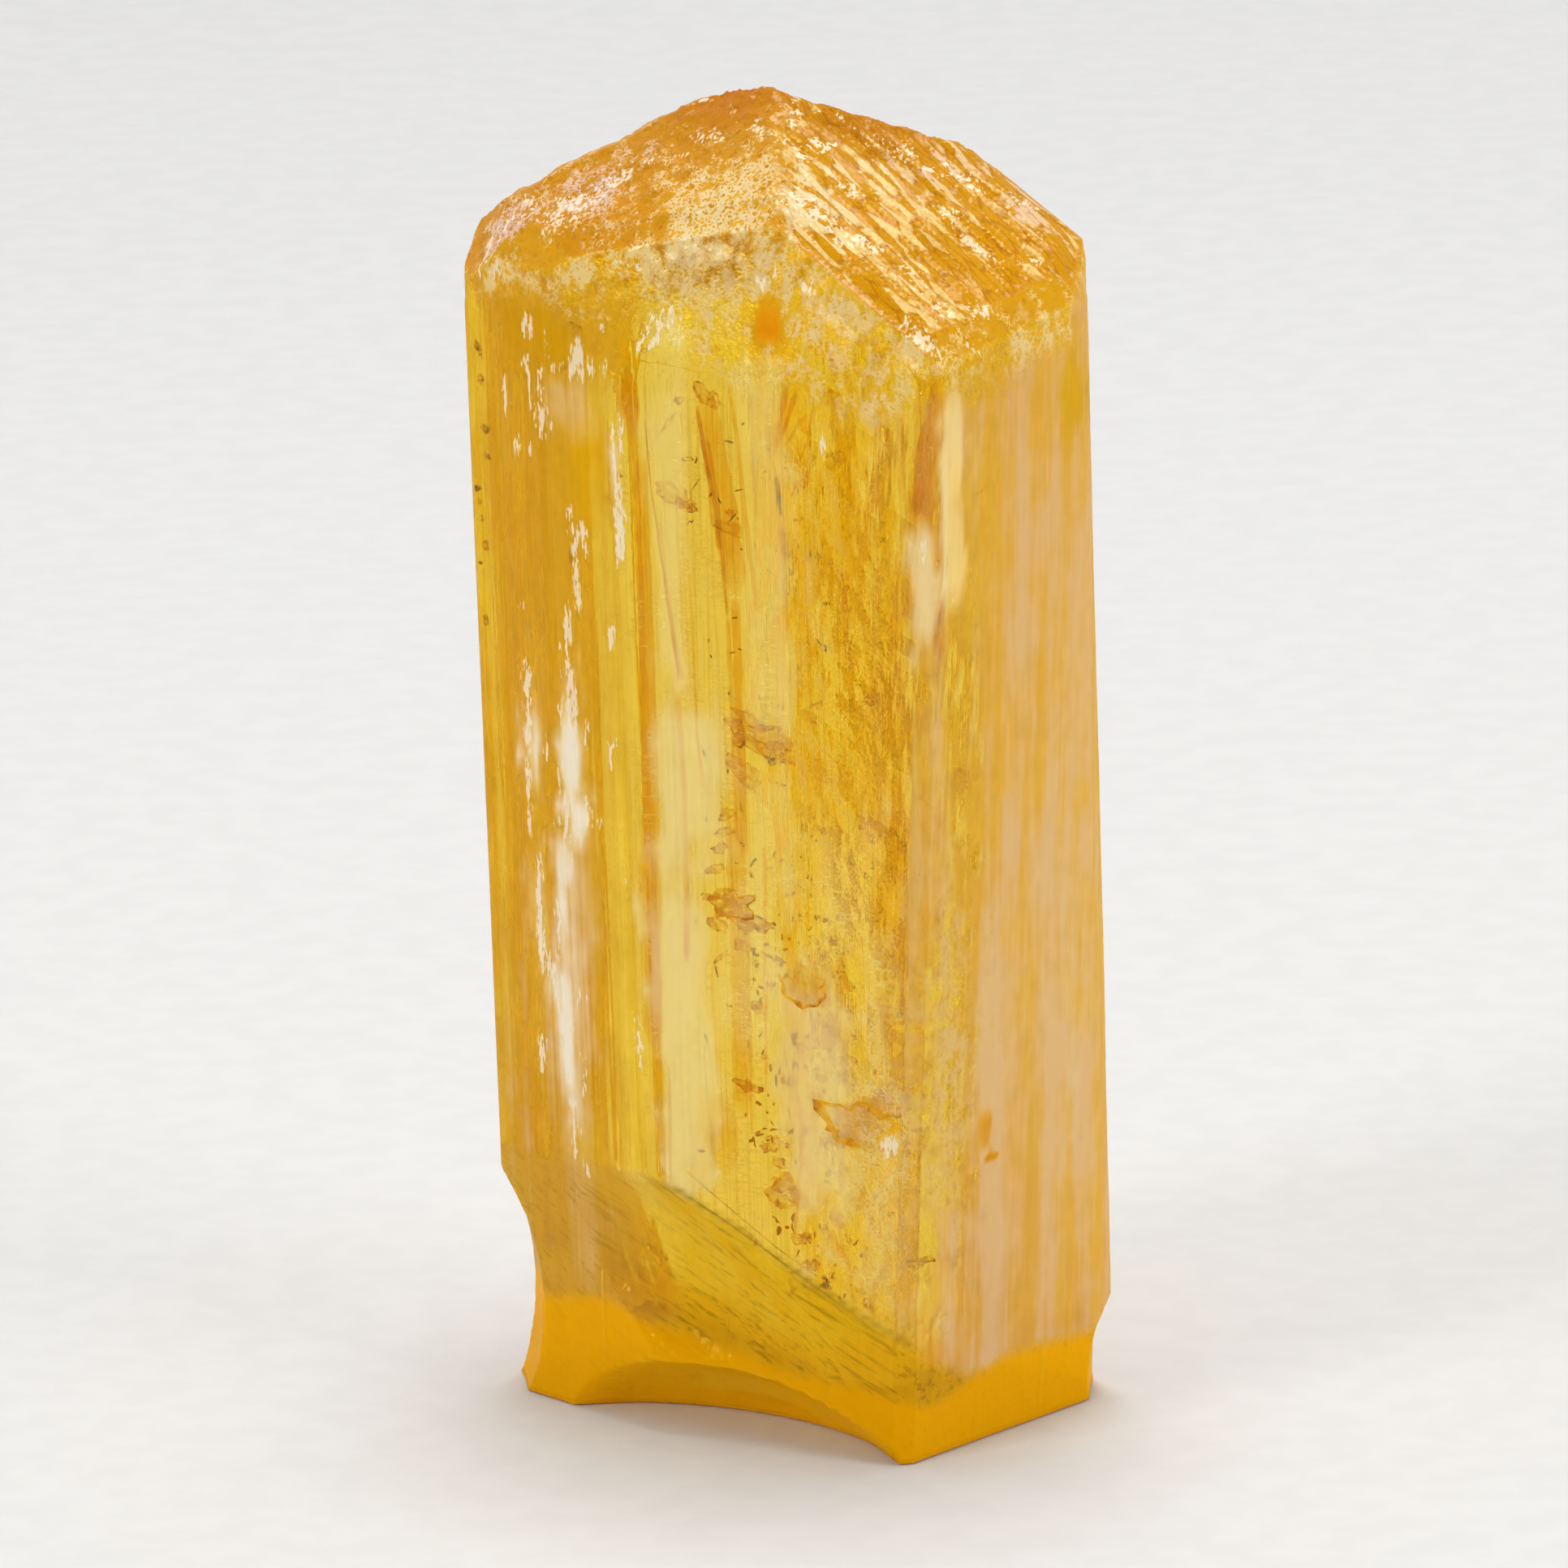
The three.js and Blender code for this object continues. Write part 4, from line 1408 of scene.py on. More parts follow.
        # white marks: crazed frost in part, painted glints and highlights in part
        out["frost"] = np.maximum.reduce([mark.field(places) for mark in FROST_AND_GLINT_MARKS])[:, None]
        return out

    @staticmethod
    def _blend(
        out: dict[str, np.ndarray], share: np.ndarray, values: Mapping[str, float | Colour]
    ) -> None:
        """Blends new values in. Args: out: the fields. share: how much. values: what."""
        for name, value in values.items():
            if name in out:
                out[name] += share[:, None] * (np.array(value, float) - out[name])


# ---------------- what is sealed inside


FACE_TANGENTS = {
    "front": (np.array([0.884, -0.467, 0.0]), np.array([-0.467, -0.884, 0.0])),
    "left": (np.array([0.687, -0.727, 0.0]), np.array([-0.727, -0.687, 0.0])),
    "right": (np.array([0.725, 0.688, 0.0]), np.array([0.688, -0.725, 0.0])),
}


def face_frame(place: np.ndarray) -> tuple[np.ndarray, np.ndarray]:
    """The side face that a place lies behind. Args: place: mm. Returns: along it, and out of it."""
    if place[0] < -3.3:
        return FACE_TANGENTS["left"]
    return FACE_TANGENTS["right"] if place[0] > 3.0 else FACE_TANGENTS["front"]


@dataclass
class ThinSheets:
    """Thin sheets gathered into one mesh, with how rusty and how solid each point is."""

    thickness: float = 0.012
    points: list[np.ndarray] = field(default_factory=list)
    faces: list[tuple[int, ...]] = field(default_factory=list)
    rust: list[float] = field(default_factory=list)
    solid: list[float] = field(default_factory=list)

    def add(self, places: np.ndarray, rust: np.ndarray, solid: np.ndarray, ring: bool) -> None:
        """Adds a grid of points.

        Args:
            places: rows by columns by 3, in mm.
            rust, solid: the same, one number a point.
            ring: True joins the last column to the first and closes the first row's hole.
        """
        rows, columns = places.shape[:2]
        start = len(self.rust)
        self.points.extend(places.reshape(-1, 3))
        self.rust.extend(rust.ravel())
        self.solid.extend(solid.ravel())
        for i in range(rows - 1):
            for j in range(columns if ring else columns - 1):
                k = (j + 1) % columns
                a, b = start + i * columns, start + (i + 1) * columns
                self.faces.append((a + j, b + j, b + k, a + k))
        if ring:
            self.faces.append(tuple(start + j for j in range(columns)))

    def build(self, name: str, material: bpy.types.Material) -> bpy.types.Object:
        """Makes the piece. Args: name: its name. material: its finish. Returns: its object."""
        mesh = bpy.data.meshes.new(name)
        mesh.from_pydata((np.array(self.points) * MM).tolist(), [], self.faces)
        for key, values in (("rust", self.rust), ("solid", self.solid)):
            attribute = mesh.attributes.new(key, "FLOAT", "POINT")
            attribute.data.foreach_set("value", np.array(values, np.float32))
        mesh.materials.append(material)
        piece = bpy.data.objects.new(name, mesh)
        bpy.context.scene.collection.objects.link(piece)
        thicken = piece.modifiers.new("thicken", "SOLIDIFY")
        thicken.thickness = self.thickness * MM
        thicken.offset = 0.0
        return settle(piece)


def settle(piece: bpy.types.Object) -> bpy.types.Object:
    """Turns a piece's modifiers into a plain mesh. Args: piece: its object. Returns: the same."""
    graph = bpy.context.evaluated_depsgraph_get()
    piece.data = bpy.data.meshes.new_from_object(piece.evaluated_get(graph))
    piece.modifiers.clear()
    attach(piece, BODY)
    return piece


@dataclass(frozen=True)
class Seam:
    """A healed crack: a thin sheet along a line, level with the face in front of it."""

    line: tuple[Triple, ...]
    first: float
    last: float
    rust: float
    solid: float
    crumple: float = 0.008
    step: float = 0.12

    def draw(self, sheets: ThinSheets) -> None:
        """Adds the seam. Args: sheets: what it is added to."""
        knots = np.array(self.line)
        runs = np.cumsum([0.0, *np.linalg.norm(np.diff(knots, axis=0), axis=1)])
        at = np.linspace(0.0, runs[-1], max(4, int(runs[-1] / self.step)) + 1)
        middle = np.stack([np.interp(at, runs, knots[:, k]) for k in range(3)], 1)
        share = at / runs[-1]
        half = self.first + (self.last - self.first) * share
        reach = np.minimum(at, runs[-1] - at)
        half = half * np.sqrt(np.clip(reach / (1.6 * half + 0.05), 0.02, 1.0))
        along, out = face_frame(knots[0])
        columns = 5 if max(self.first, self.last) < 0.12 else int(max(self.first, self.last) / 0.045) | 1
        across = np.linspace(-1.0, 1.0, columns)
        ragged = np.array([noise.noise(Vector((t * 2.4, self.rust * 9, knots[0][0]))) for t in at])
        shift = 0.1 * half * ragged
        width = half * (1.0 + 0.22 * np.roll(ragged, 3))
        places = (
            middle[:, None]
            + along * (across[None, :, None] * width[:, None, None] + shift[:, None, None])
        )
        bend = grain_at(places.reshape(-1, 3), (4.0, 4.0, 2.2), 3).reshape(places.shape[:2])
        places = places + out * (self.crumple * 2.0 * bend[..., None])
        fade = np.clip(reach / (2.5 * half + 0.05), 0.15, 1.0)[:, None]
        solid = self.solid * fade * (1.0 - 0.3 * np.abs(across[None]) ** 3) * np.ones_like(bend)
        rust = self.rust + 0.1 * bend + 0.05 * np.abs(across[None]) ** 2
        sheets.add(places, np.clip(rust, 0.0, 1.0), solid, False)


@dataclass(frozen=True)
class Flake:
    """A small shell-shaped crack, rusty round its edge."""

    centre: Triple
    length: float
    width: float
    lean: float
    rust: float
    solid: float
    rings: int = 5
    spokes: int = 26

    def draw(self, sheets: ThinSheets) -> None:
        """Adds the flake. Args: sheets: what it is added to."""
        middle = np.array(self.centre)
        along, out = face_frame(middle)
        a = math.radians(self.lean)
        up = np.array([0.0, 0.0, 1.0])
        u, v = along * math.cos(a) + up * math.sin(a), up * math.cos(a) - along * math.sin(a)
        turn = np.linspace(0.0, 2 * np.pi, self.spokes, endpoint=False)
        key = middle * 7.3
        round_it = np.stack([np.cos(turn), np.sin(turn), np.zeros_like(turn)], 1)
        edge = 1.0 + 0.75 * grain_at(round_it + key, (1.3, 1.3, 1.3))
        edge = edge + 0.6 * np.abs(grain_at(round_it + key, (3.9, 3.9, 3.9)))
        radius = np.linspace(0.0, 1.0, self.rings + 1)[1:] ** 0.8
        reach = radius[:, None] * edge[None]
        x = reach * np.cos(turn) * self.length
        y = reach * np.sin(turn) * self.width
        size = min(self.length, self.width)
        ribs = np.sin(turn * 7.0 + key[0]) * radius[:, None] * 0.16
        dish = 0.45 * size * (radius[:, None] ** 2 + ribs) * np.ones_like(x)
        places = middle + x[..., None] * u + y[..., None] * v + dish[..., None] * out
        grit = grain_at(places.reshape(-1, 3), (9.0, 9.0, 9.0), 2).reshape(x.shape)
        rim = smooth_step(0.7, 1.0, radius)[:, None]
        side = 0.5 - 0.5 * np.sin(turn + key[1])[None]
        rust = self.rust - 0.12 + 0.42 * rim * side + 0.22 * grit + 0.6 * ribs * radius[:, None]
        solid = self.solid * (0.45 + 0.8 * grit + 0.5 * rim * side)
        sheets.add(places, np.clip(rust, 0.0, 1.0), np.clip(solid, 0.0, 1.0), True)


@dataclass(frozen=True)
class RustFinish:
    """Iron stain caught in a crack: it colours what is seen through it and scatters light."""

    name: str
    body: float
    mottle: float
    grain: Triple
    # rust, then the colour passed, then the colour scattered
    stops: tuple[tuple[float, Colour, Colour], ...] = (
        (0.0, (1.0, 0.97, 0.86), (0.98, 0.88, 0.6)),
        (0.2, (1.0, 0.965, 0.62), (0.96, 0.76, 0.06)),
        (0.45, (0.995, 0.9, 0.45), (0.98, 0.66, 0.02)),
        (0.7, (0.98, 0.8, 0.3), (0.96, 0.54, 0.01)),
        (0.88, (0.82, 0.62, 0.28), (0.55, 0.31, 0.02)),
        (1.0, (0.25, 0.19, 0.12), (0.03, 0.02, 0.01)),
    )

    def build(self) -> bpy.types.Material:
        """Makes the material. Returns: it."""
        material, sheet = new_material(self.name)
        fleck = sheet.grain(self.grain, 3.0, 0.7)
        cloud = sheet.grain(tuple(5.0 * size for size in self.grain), 2.0, 0.6)
        rust = sheet.attribute("rust") + (fleck - 0.5) * 0.35 * self.mottle
        mottled = 1.0 + ((fleck - 0.5) * 1.6 + (cloud - 0.5) * 1.6) * self.mottle
        solid = (sheet.attribute("solid") * mottled).at_least(0.0).at_most(1.0)
        passed = self._ramp(sheet, rust, 1)
        scattered = self._ramp(sheet, rust, 2)
        open_tint = sheet.mix_colour(solid, (1.0, 1.0, 1.0), passed)
        clear = sheet.node("ShaderNodeBsdfTransparent", {"Color": open_tint})
        lit = sheet.node(
            "ShaderNodeBsdfPrincipled", {"Base Color": scattered, "Roughness": 0.3}
        )
        through = sheet.node("ShaderNodeBsdfTranslucent", {"Color": scattered})
        sheet.finish(sheet.mix_shader(solid * self.body, clear, sheet.mix_shader(0.7, lit, through)))
        return material

    def _ramp(self, sheet: NodeSheet, rust: Wire, column: int) -> object:
        """A colour that follows the rust. Args: column: 1 passed, 2 scattered. Returns: the output."""
        stops = [(stop[0], stop[column]) for stop in self.stops]
        return sheet.node("ShaderNodeValToRGB", {0: rust}, stops=stops).outputs[0]


@dataclass(frozen=True)
class GrainScatter:
    """Many small grains strewn through part of the crystal, all made by one node tree."""

    name: str
    count: int
    seed: int
    size: float
    longest: Triple
    shortest: Triple
    # along the front face, into the crystal, up: lowest and highest in mm
    room: tuple[tuple[float, float], ...]

    def build(self, material: bpy.types.Material) -> bpy.types.Object:
        """Strews the grains. Args: material: their finish. Returns: the piece."""
        rng = np.random.default_rng(self.seed)
        s, d, z = (rng.uniform(*span, self.count) for span in self.room)
        along, out = FACE_TANGENTS["front"]
        corner = np.array([-2.31, -3.22, 0.0])
        places = corner + s[:, None] * along - d[:, None] * out
        places[:, 2] = z
        seeds = bpy.data.meshes.new(self.name)
        seeds.from_pydata((places * MM).tolist(), [], [])
        piece = bpy.data.objects.new(self.name, seeds)
        bpy.context.scene.collection.objects.link(piece)
        modifier = piece.modifiers.new("strew", "NODES")
        modifier.node_group = tree = self._tree(material)
        for item in tree.interface.items_tree:
            if item.name == "Grain Size":
                modifier[item.identifier] = self.size * MM
        return settle(piece)

    def _tree(self, material: bpy.types.Material) -> bpy.types.NodeTree:
        """Lays out the node tree. Args: material: the grains' finish. Returns: the tree."""
        tree = bpy.data.node_groups.new(self.name, "GeometryNodeTree")
        for name, kind, way in (
            ("Seeds", "NodeSocketGeometry", "INPUT"),
            ("Grain Size", "NodeSocketFloat", "INPUT"),
            ("Grains", "NodeSocketGeometry", "OUTPUT"),
        ):
            tree.interface.new_socket(name, in_out=way, socket_type=kind)
        sheet = NodeSheet(tree)
        entry = sheet.node("NodeGroupInput")
        size = entry.outputs["Grain Size"]
        ball = sheet.node("GeometryNodeMeshIcoSphere", {"Radius": 1.0, "Subdivisions": 2})
        full_turn = (6.28, 6.28, 6.28)
        spin = sheet.node(
            "FunctionNodeRandomValue", {1: full_turn, 8: 3}, data_type="FLOAT_VECTOR"
        )
        shape = sheet.node(
            "FunctionNodeRandomValue",
            {0: self.shortest, 1: self.longest, 8: self.seed},
            data_type="FLOAT_VECTOR",
        )
        strewn = sheet.node(
            "GeometryNodeInstanceOnPoints",
            {
                "Points": entry.outputs["Seeds"],
                "Instance": ball.outputs["Mesh"],
                "Rotation": spin.outputs[0],
                "Scale": sheet.scaled(shape.outputs[0], size),
            },
        )
        real = sheet.node("GeometryNodeRealizeInstances", {0: strewn.outputs[0]})
        wobble = sheet.node("ShaderNodeTexNoise", {"Scale": 9000.0, "Detail": 1.0})
        centred = sheet.vector("SUBTRACT", wobble.outputs["Color"], (0.5, 0.5, 0.5))
        moved = sheet.node(
            "GeometryNodeSetPosition", {0: real.outputs[0], "Offset": sheet.scaled(centred, size)}
        )
        dressed = sheet.node(
            "GeometryNodeSetMaterial", {0: moved.outputs[0], "Material": material}
        )
        sheet.node("NodeGroupOutput", {0: dressed.outputs[0]})
        return tree


@dataclass(frozen=True)
class GrainFinish:
    """Small opaque grains, from golden to black."""

    name: str
    light: Colour
    dark: Colour

    def build(self) -> bpy.types.Material:
        """Makes the material. Returns: it."""
        material, sheet = new_material(self.name)
        change = sheet.grain((0.5, 0.5, 0.5), 2.0, 0.6)
        colour = sheet.mix_colour(change.ramp(0.35, 0.62), self.dark, self.light)
        lit = sheet.node("ShaderNodeBsdfPrincipled", {"Base Color": colour, "Roughness": 0.35})
        through = sheet.node("ShaderNodeBsdfTranslucent", {"Color": colour})
        sheet.finish(sheet.mix_shader(0.4, lit, through))
        return material


def under(depth: float, *pixels: tuple[int, int]) -> tuple[Triple, ...]:
    """A line sealed in the crystal. Args: depth: mm past the skin. pixels: on it. Returns: mm."""
    return tuple(SIGHT.place(*pixel, depth) for pixel in pixels)


HEALED_SEAMS: tuple[Seam, ...] = (
    Seam(under(1.0, (773, 452), (775, 500), (777, 540)), 0.27, 0.27, 0.7, 0.75),
    Seam(under(0.802, (794, 515), (802, 600), (815, 690), (826, 770), (838, 842)),
         0.015, 0.04, 0.78, 0.8),
    Seam(under(0.9, (812, 640), (822, 720), (832, 790), (842, 842)), 0.02, 0.03, 0.68, 0.7),
    Seam(under(0.6, (790, 560), (794, 700), (799, 850), (802, 1000), (805, 1150), (806, 1290)),
         0.16, 0.22, 0.56, 0.8),
    Seam(under(1.6, (834, 850), (842, 960), (845, 1080), (846, 1190)), 0.07, 0.09, 0.44, 0.8),
    Seam(under(1.6, (846, 1130), (845, 1185)), 0.09, 0.04, 0.6, 0.8),
    Seam(under(1.4, (866, 478), (880, 560), (893, 640), (903, 700), (908, 733)), 0.29, 0.36, 0.56, 0.85),
    Seam(under(1.3, (858, 500), (868, 560), (880, 620), (886, 680)), 0.05, 0.05, 0.8, 0.8),
    Seam(under(1.5, (872, 540), (884, 620), (890, 690), (896, 760)), 0.05, 0.04, 0.76, 0.7),
    Seam(under(1.2, (898, 470), (908, 540), (916, 620), (926, 700), (934, 760)), 0.05, 0.07, 0.52, 0.8),
    Seam(under(1.5, (906, 735), (909, 820), (912, 900), (915, 1000), (917, 1060)), 0.11, 0.11, 0.6, 0.8),
    Seam(under(1.9, (896, 760), (900, 850), (905, 960), (908, 1040)), 0.05, 0.05, 0.68, 0.6),
    Seam(under(1.2, (850, 700), (853, 800), (858, 900), (868, 980)), 0.05, 0.04, 0.52, 0.6),
    Seam(under(1.6, (903, 1000), (908, 1090), (911, 1180), (912, 1290), (915, 1380)), 0.23, 0.2, 0.48, 0.8),
    Seam(under(1.1, (922, 1110), (923, 1200), (925, 1300), (926, 1400)), 0.04, 0.04, 0.68, 0.6),
    Seam(under(1.1, (941, 1040), (942, 1130), (943, 1220), (944, 1330)), 0.04, 0.04, 0.64, 0.6),
    Seam(under(0.8, (957, 583), (959, 610), (962, 640)), 0.05, 0.04, 0.88, 0.9),
    Seam(under(0.9, (962, 640), (966, 700), (970, 760), (974, 800)), 0.05, 0.04, 0.6, 0.7),
    Seam(under(1.4, (1037, 690), (1040, 760), (1044, 830)), 0.05, 0.05, 0.56, 0.7),
    Seam(under(1.2, (1041, 700), (1043, 760), (1046, 800)), 0.03, 0.03, 0.8, 0.7),
    Seam(under(0.3, (1150, 740), (1150, 860), (1144, 960), (1142, 1050)), 0.04, 0.04, 0.32, 0.8),
    Seam(under(0.9, (993, 1010), (995, 1040)), 0.04, 0.04, 0.92, 0.9),
    Seam(under(0.6, (968, 475), (960, 520), (956, 560)), 0.07, 0.05, 0.56, 0.9),
    Seam(under(0.7, (982, 480), (972, 510), (963, 540)), 0.07, 0.05, 0.64, 0.9),
    Seam(under(0.6, (992, 512), (982, 530), (968, 552)), 0.07, 0.05, 0.6, 0.9),
    Seam(under(0.8, (1000, 540), (988, 562), (974, 580)), 0.05, 0.04, 0.68, 0.9),
    Seam(under(0.5, (1003, 560), (992, 585), (980, 600)), 0.05, 0.04, 0.6, 0.9),
    Seam(under(0.6, (995, 590), (985, 602), (978, 615)), 0.05, 0.04, 0.72, 0.9),
    Seam(under(0.8, (1018, 590), (1012, 600), (1010, 612)), 0.05, 0.04, 0.84, 0.9),
    Seam(under(0.7, (1010, 500), (1002, 520), (994, 540)), 0.05, 0.04, 0.68, 0.8),
    Seam(under(1.8, (890, 1345), (891, 1400), (892, 1450)), 0.36, 0.39, 0.48, 0.8),
    Seam(under(1.0, (1100, 1190), (1112, 1215), (1120, 1245)), 0.04, 0.04, 0.76, 0.7),
    Seam(under(1.2, (985, 1390), (988, 1440), (984, 1480), (978, 1530)), 0.04, 0.04, 0.72, 0.7),
    Seam(under(0.25, (1128, 1556), (1145, 1552), (1160, 1549)), 0.05, 0.04, 0.88, 0.9),
    Seam(under(0.25, (1158, 1549), (1172, 1543), (1186, 1536)), 0.07, 0.04, 0.56, 0.9),
    Seam(under(0.2, (684, 765), (684, 800)), 0.04, 0.03, 0.92, 0.9),
    Seam(under(0.2, (704, 676), (704, 700)), 0.03, 0.03, 0.92, 0.9),
    Seam(((3.36, -5.6, 24.95), (3.1, -5.6, 23.4), (2.86, -5.6, 21.7)), 0.1, 0.17, 0.73, 0.95),
    Seam(((3.18, -5.5, 23.0), (3.2, -5.48, 20.6), (3.22, -5.44, 18.2)), 0.07, 0.12, 0.65, 0.8),
    Seam(under(0.068, (828, 1462), (880, 1496), (932, 1532), (986, 1572), (1040, 1612), (1092, 1650)),
         0.03, 0.03, 0.96, 0.9, 0.004),
    Seam(under(0.07, (842, 1440), (900, 1490), (960, 1540), (1010, 1575)), 0.02, 0.02, 0.92, 0.5, 0.004),
    Seam(under(1.3, (1108, 690), (1104, 760), (1092, 840), (1085, 900), (1082, 960)),
         0.22, 0.68, 0.38, 0.6, 0.1),
    Seam(under(1.2, (1085, 930), (1090, 980), (1100, 1040), (1112, 1100)), 0.72, 0.72, 0.44, 0.7, 0.12),
    Seam(under(1.2, (1105, 1050), (1112, 1100), (1122, 1160), (1122, 1200)), 0.68, 0.25, 0.44, 0.65, 0.12),
    Seam(under(0.9, (1080, 450), (1090, 520), (1100, 580)), 0.54, 0.39, 0.24, 0.45, 0.08),
    Seam(under(1.6, (1010, 640), (1008, 720), (1004, 800), (1008, 860), (1012, 900)),
         0.29, 0.39, 0.22, 0.8, 0.04),
    Seam(under(1.8, (1055, 540), (1050, 640), (1052, 720), (1048, 800)), 0.47, 0.22, 0.22, 0.75, 0.04),
    Seam(under(1.6, (1000, 880), (1010, 960), (1012, 1020)), 0.32, 0.39, 0.24, 0.8, 0.05),
    Seam(under(1.5, (1000, 930), (1030, 965), (1050, 950)), 0.18, 0.43, 0.23, 0.7, 0.05),
    Seam(under(0.9, (1158, 515), (1150, 560), (1140, 610), (1128, 650)), 0.05, 0.14, 0.54, 0.9, 0.02),
    Seam(under(1.1, (1160, 470), (1152, 530), (1143, 590), (1139, 640), (1130, 690)),
         0.18, 0.3, 0.44, 0.85, 0.02),
    Seam(under(1.1, (1132, 680), (1124, 720), (1118, 750)), 0.25, 0.05, 0.42, 0.8, 0.02),
    Seam(under(0.7, (1138, 655), (1141, 700), (1140, 750), (1138, 800)), 0.14, 0.2, 0.0, 0.85, 0.01),
    Seam(under(0.5, (1180, 600), (1178, 650), (1176, 700), (1178, 745), (1180, 768)),
         0.18, 0.25, 0.0, 0.75, 0.01),
    Seam(under(0.8, (1165, 745), (1164, 785), (1162, 820)), 0.25, 0.29, 0.68, 0.7, 0.02),
    Seam(under(0.8, (1160, 815), (1156, 838), (1150, 852)), 0.25, 0.14, 0.88, 0.4, 0.02),
    Seam(under(0.9, (1163, 1050), (1170, 1080), (1178, 1100)), 0.13, 0.18, 0.0, 0.85, 0.05),
    Seam(under(0.9, (1172, 1095), (1158, 1120), (1132, 1165)), 0.16, 0.11, 0.0, 0.85, 0.05),
    Seam(under(0.9, (1152, 1125), (1162, 1155), (1174, 1190)), 0.16, 0.09, 0.0, 0.85, 0.05),
    Seam(under(0.7, (880, 455), (920, 462), (960, 458), (1000, 466)), 0.25, 0.36, 0.28, 0.6, 0.06),
    Seam(under(0.5, (735, 442), (770, 440), (800, 446), (840, 452), (866, 462)),
         0.09, 0.11, 0.48, 0.7, 0.05),
    Seam(under(1.9, (1040, 1210), (1046, 1280), (1050, 1340)), 0.47, 0.54, 0.3, 0.35, 0.08),
    Seam(under(1.9, (975, 1240), (980, 1330), (990, 1400), (1000, 1470)), 0.36, 0.47, 0.32, 0.4, 0.08),
    Seam(under(1.2, (870, 1360), (868, 1420), (872, 1470)), 0.29, 0.18, 0.28, 0.4, 0.06),
)
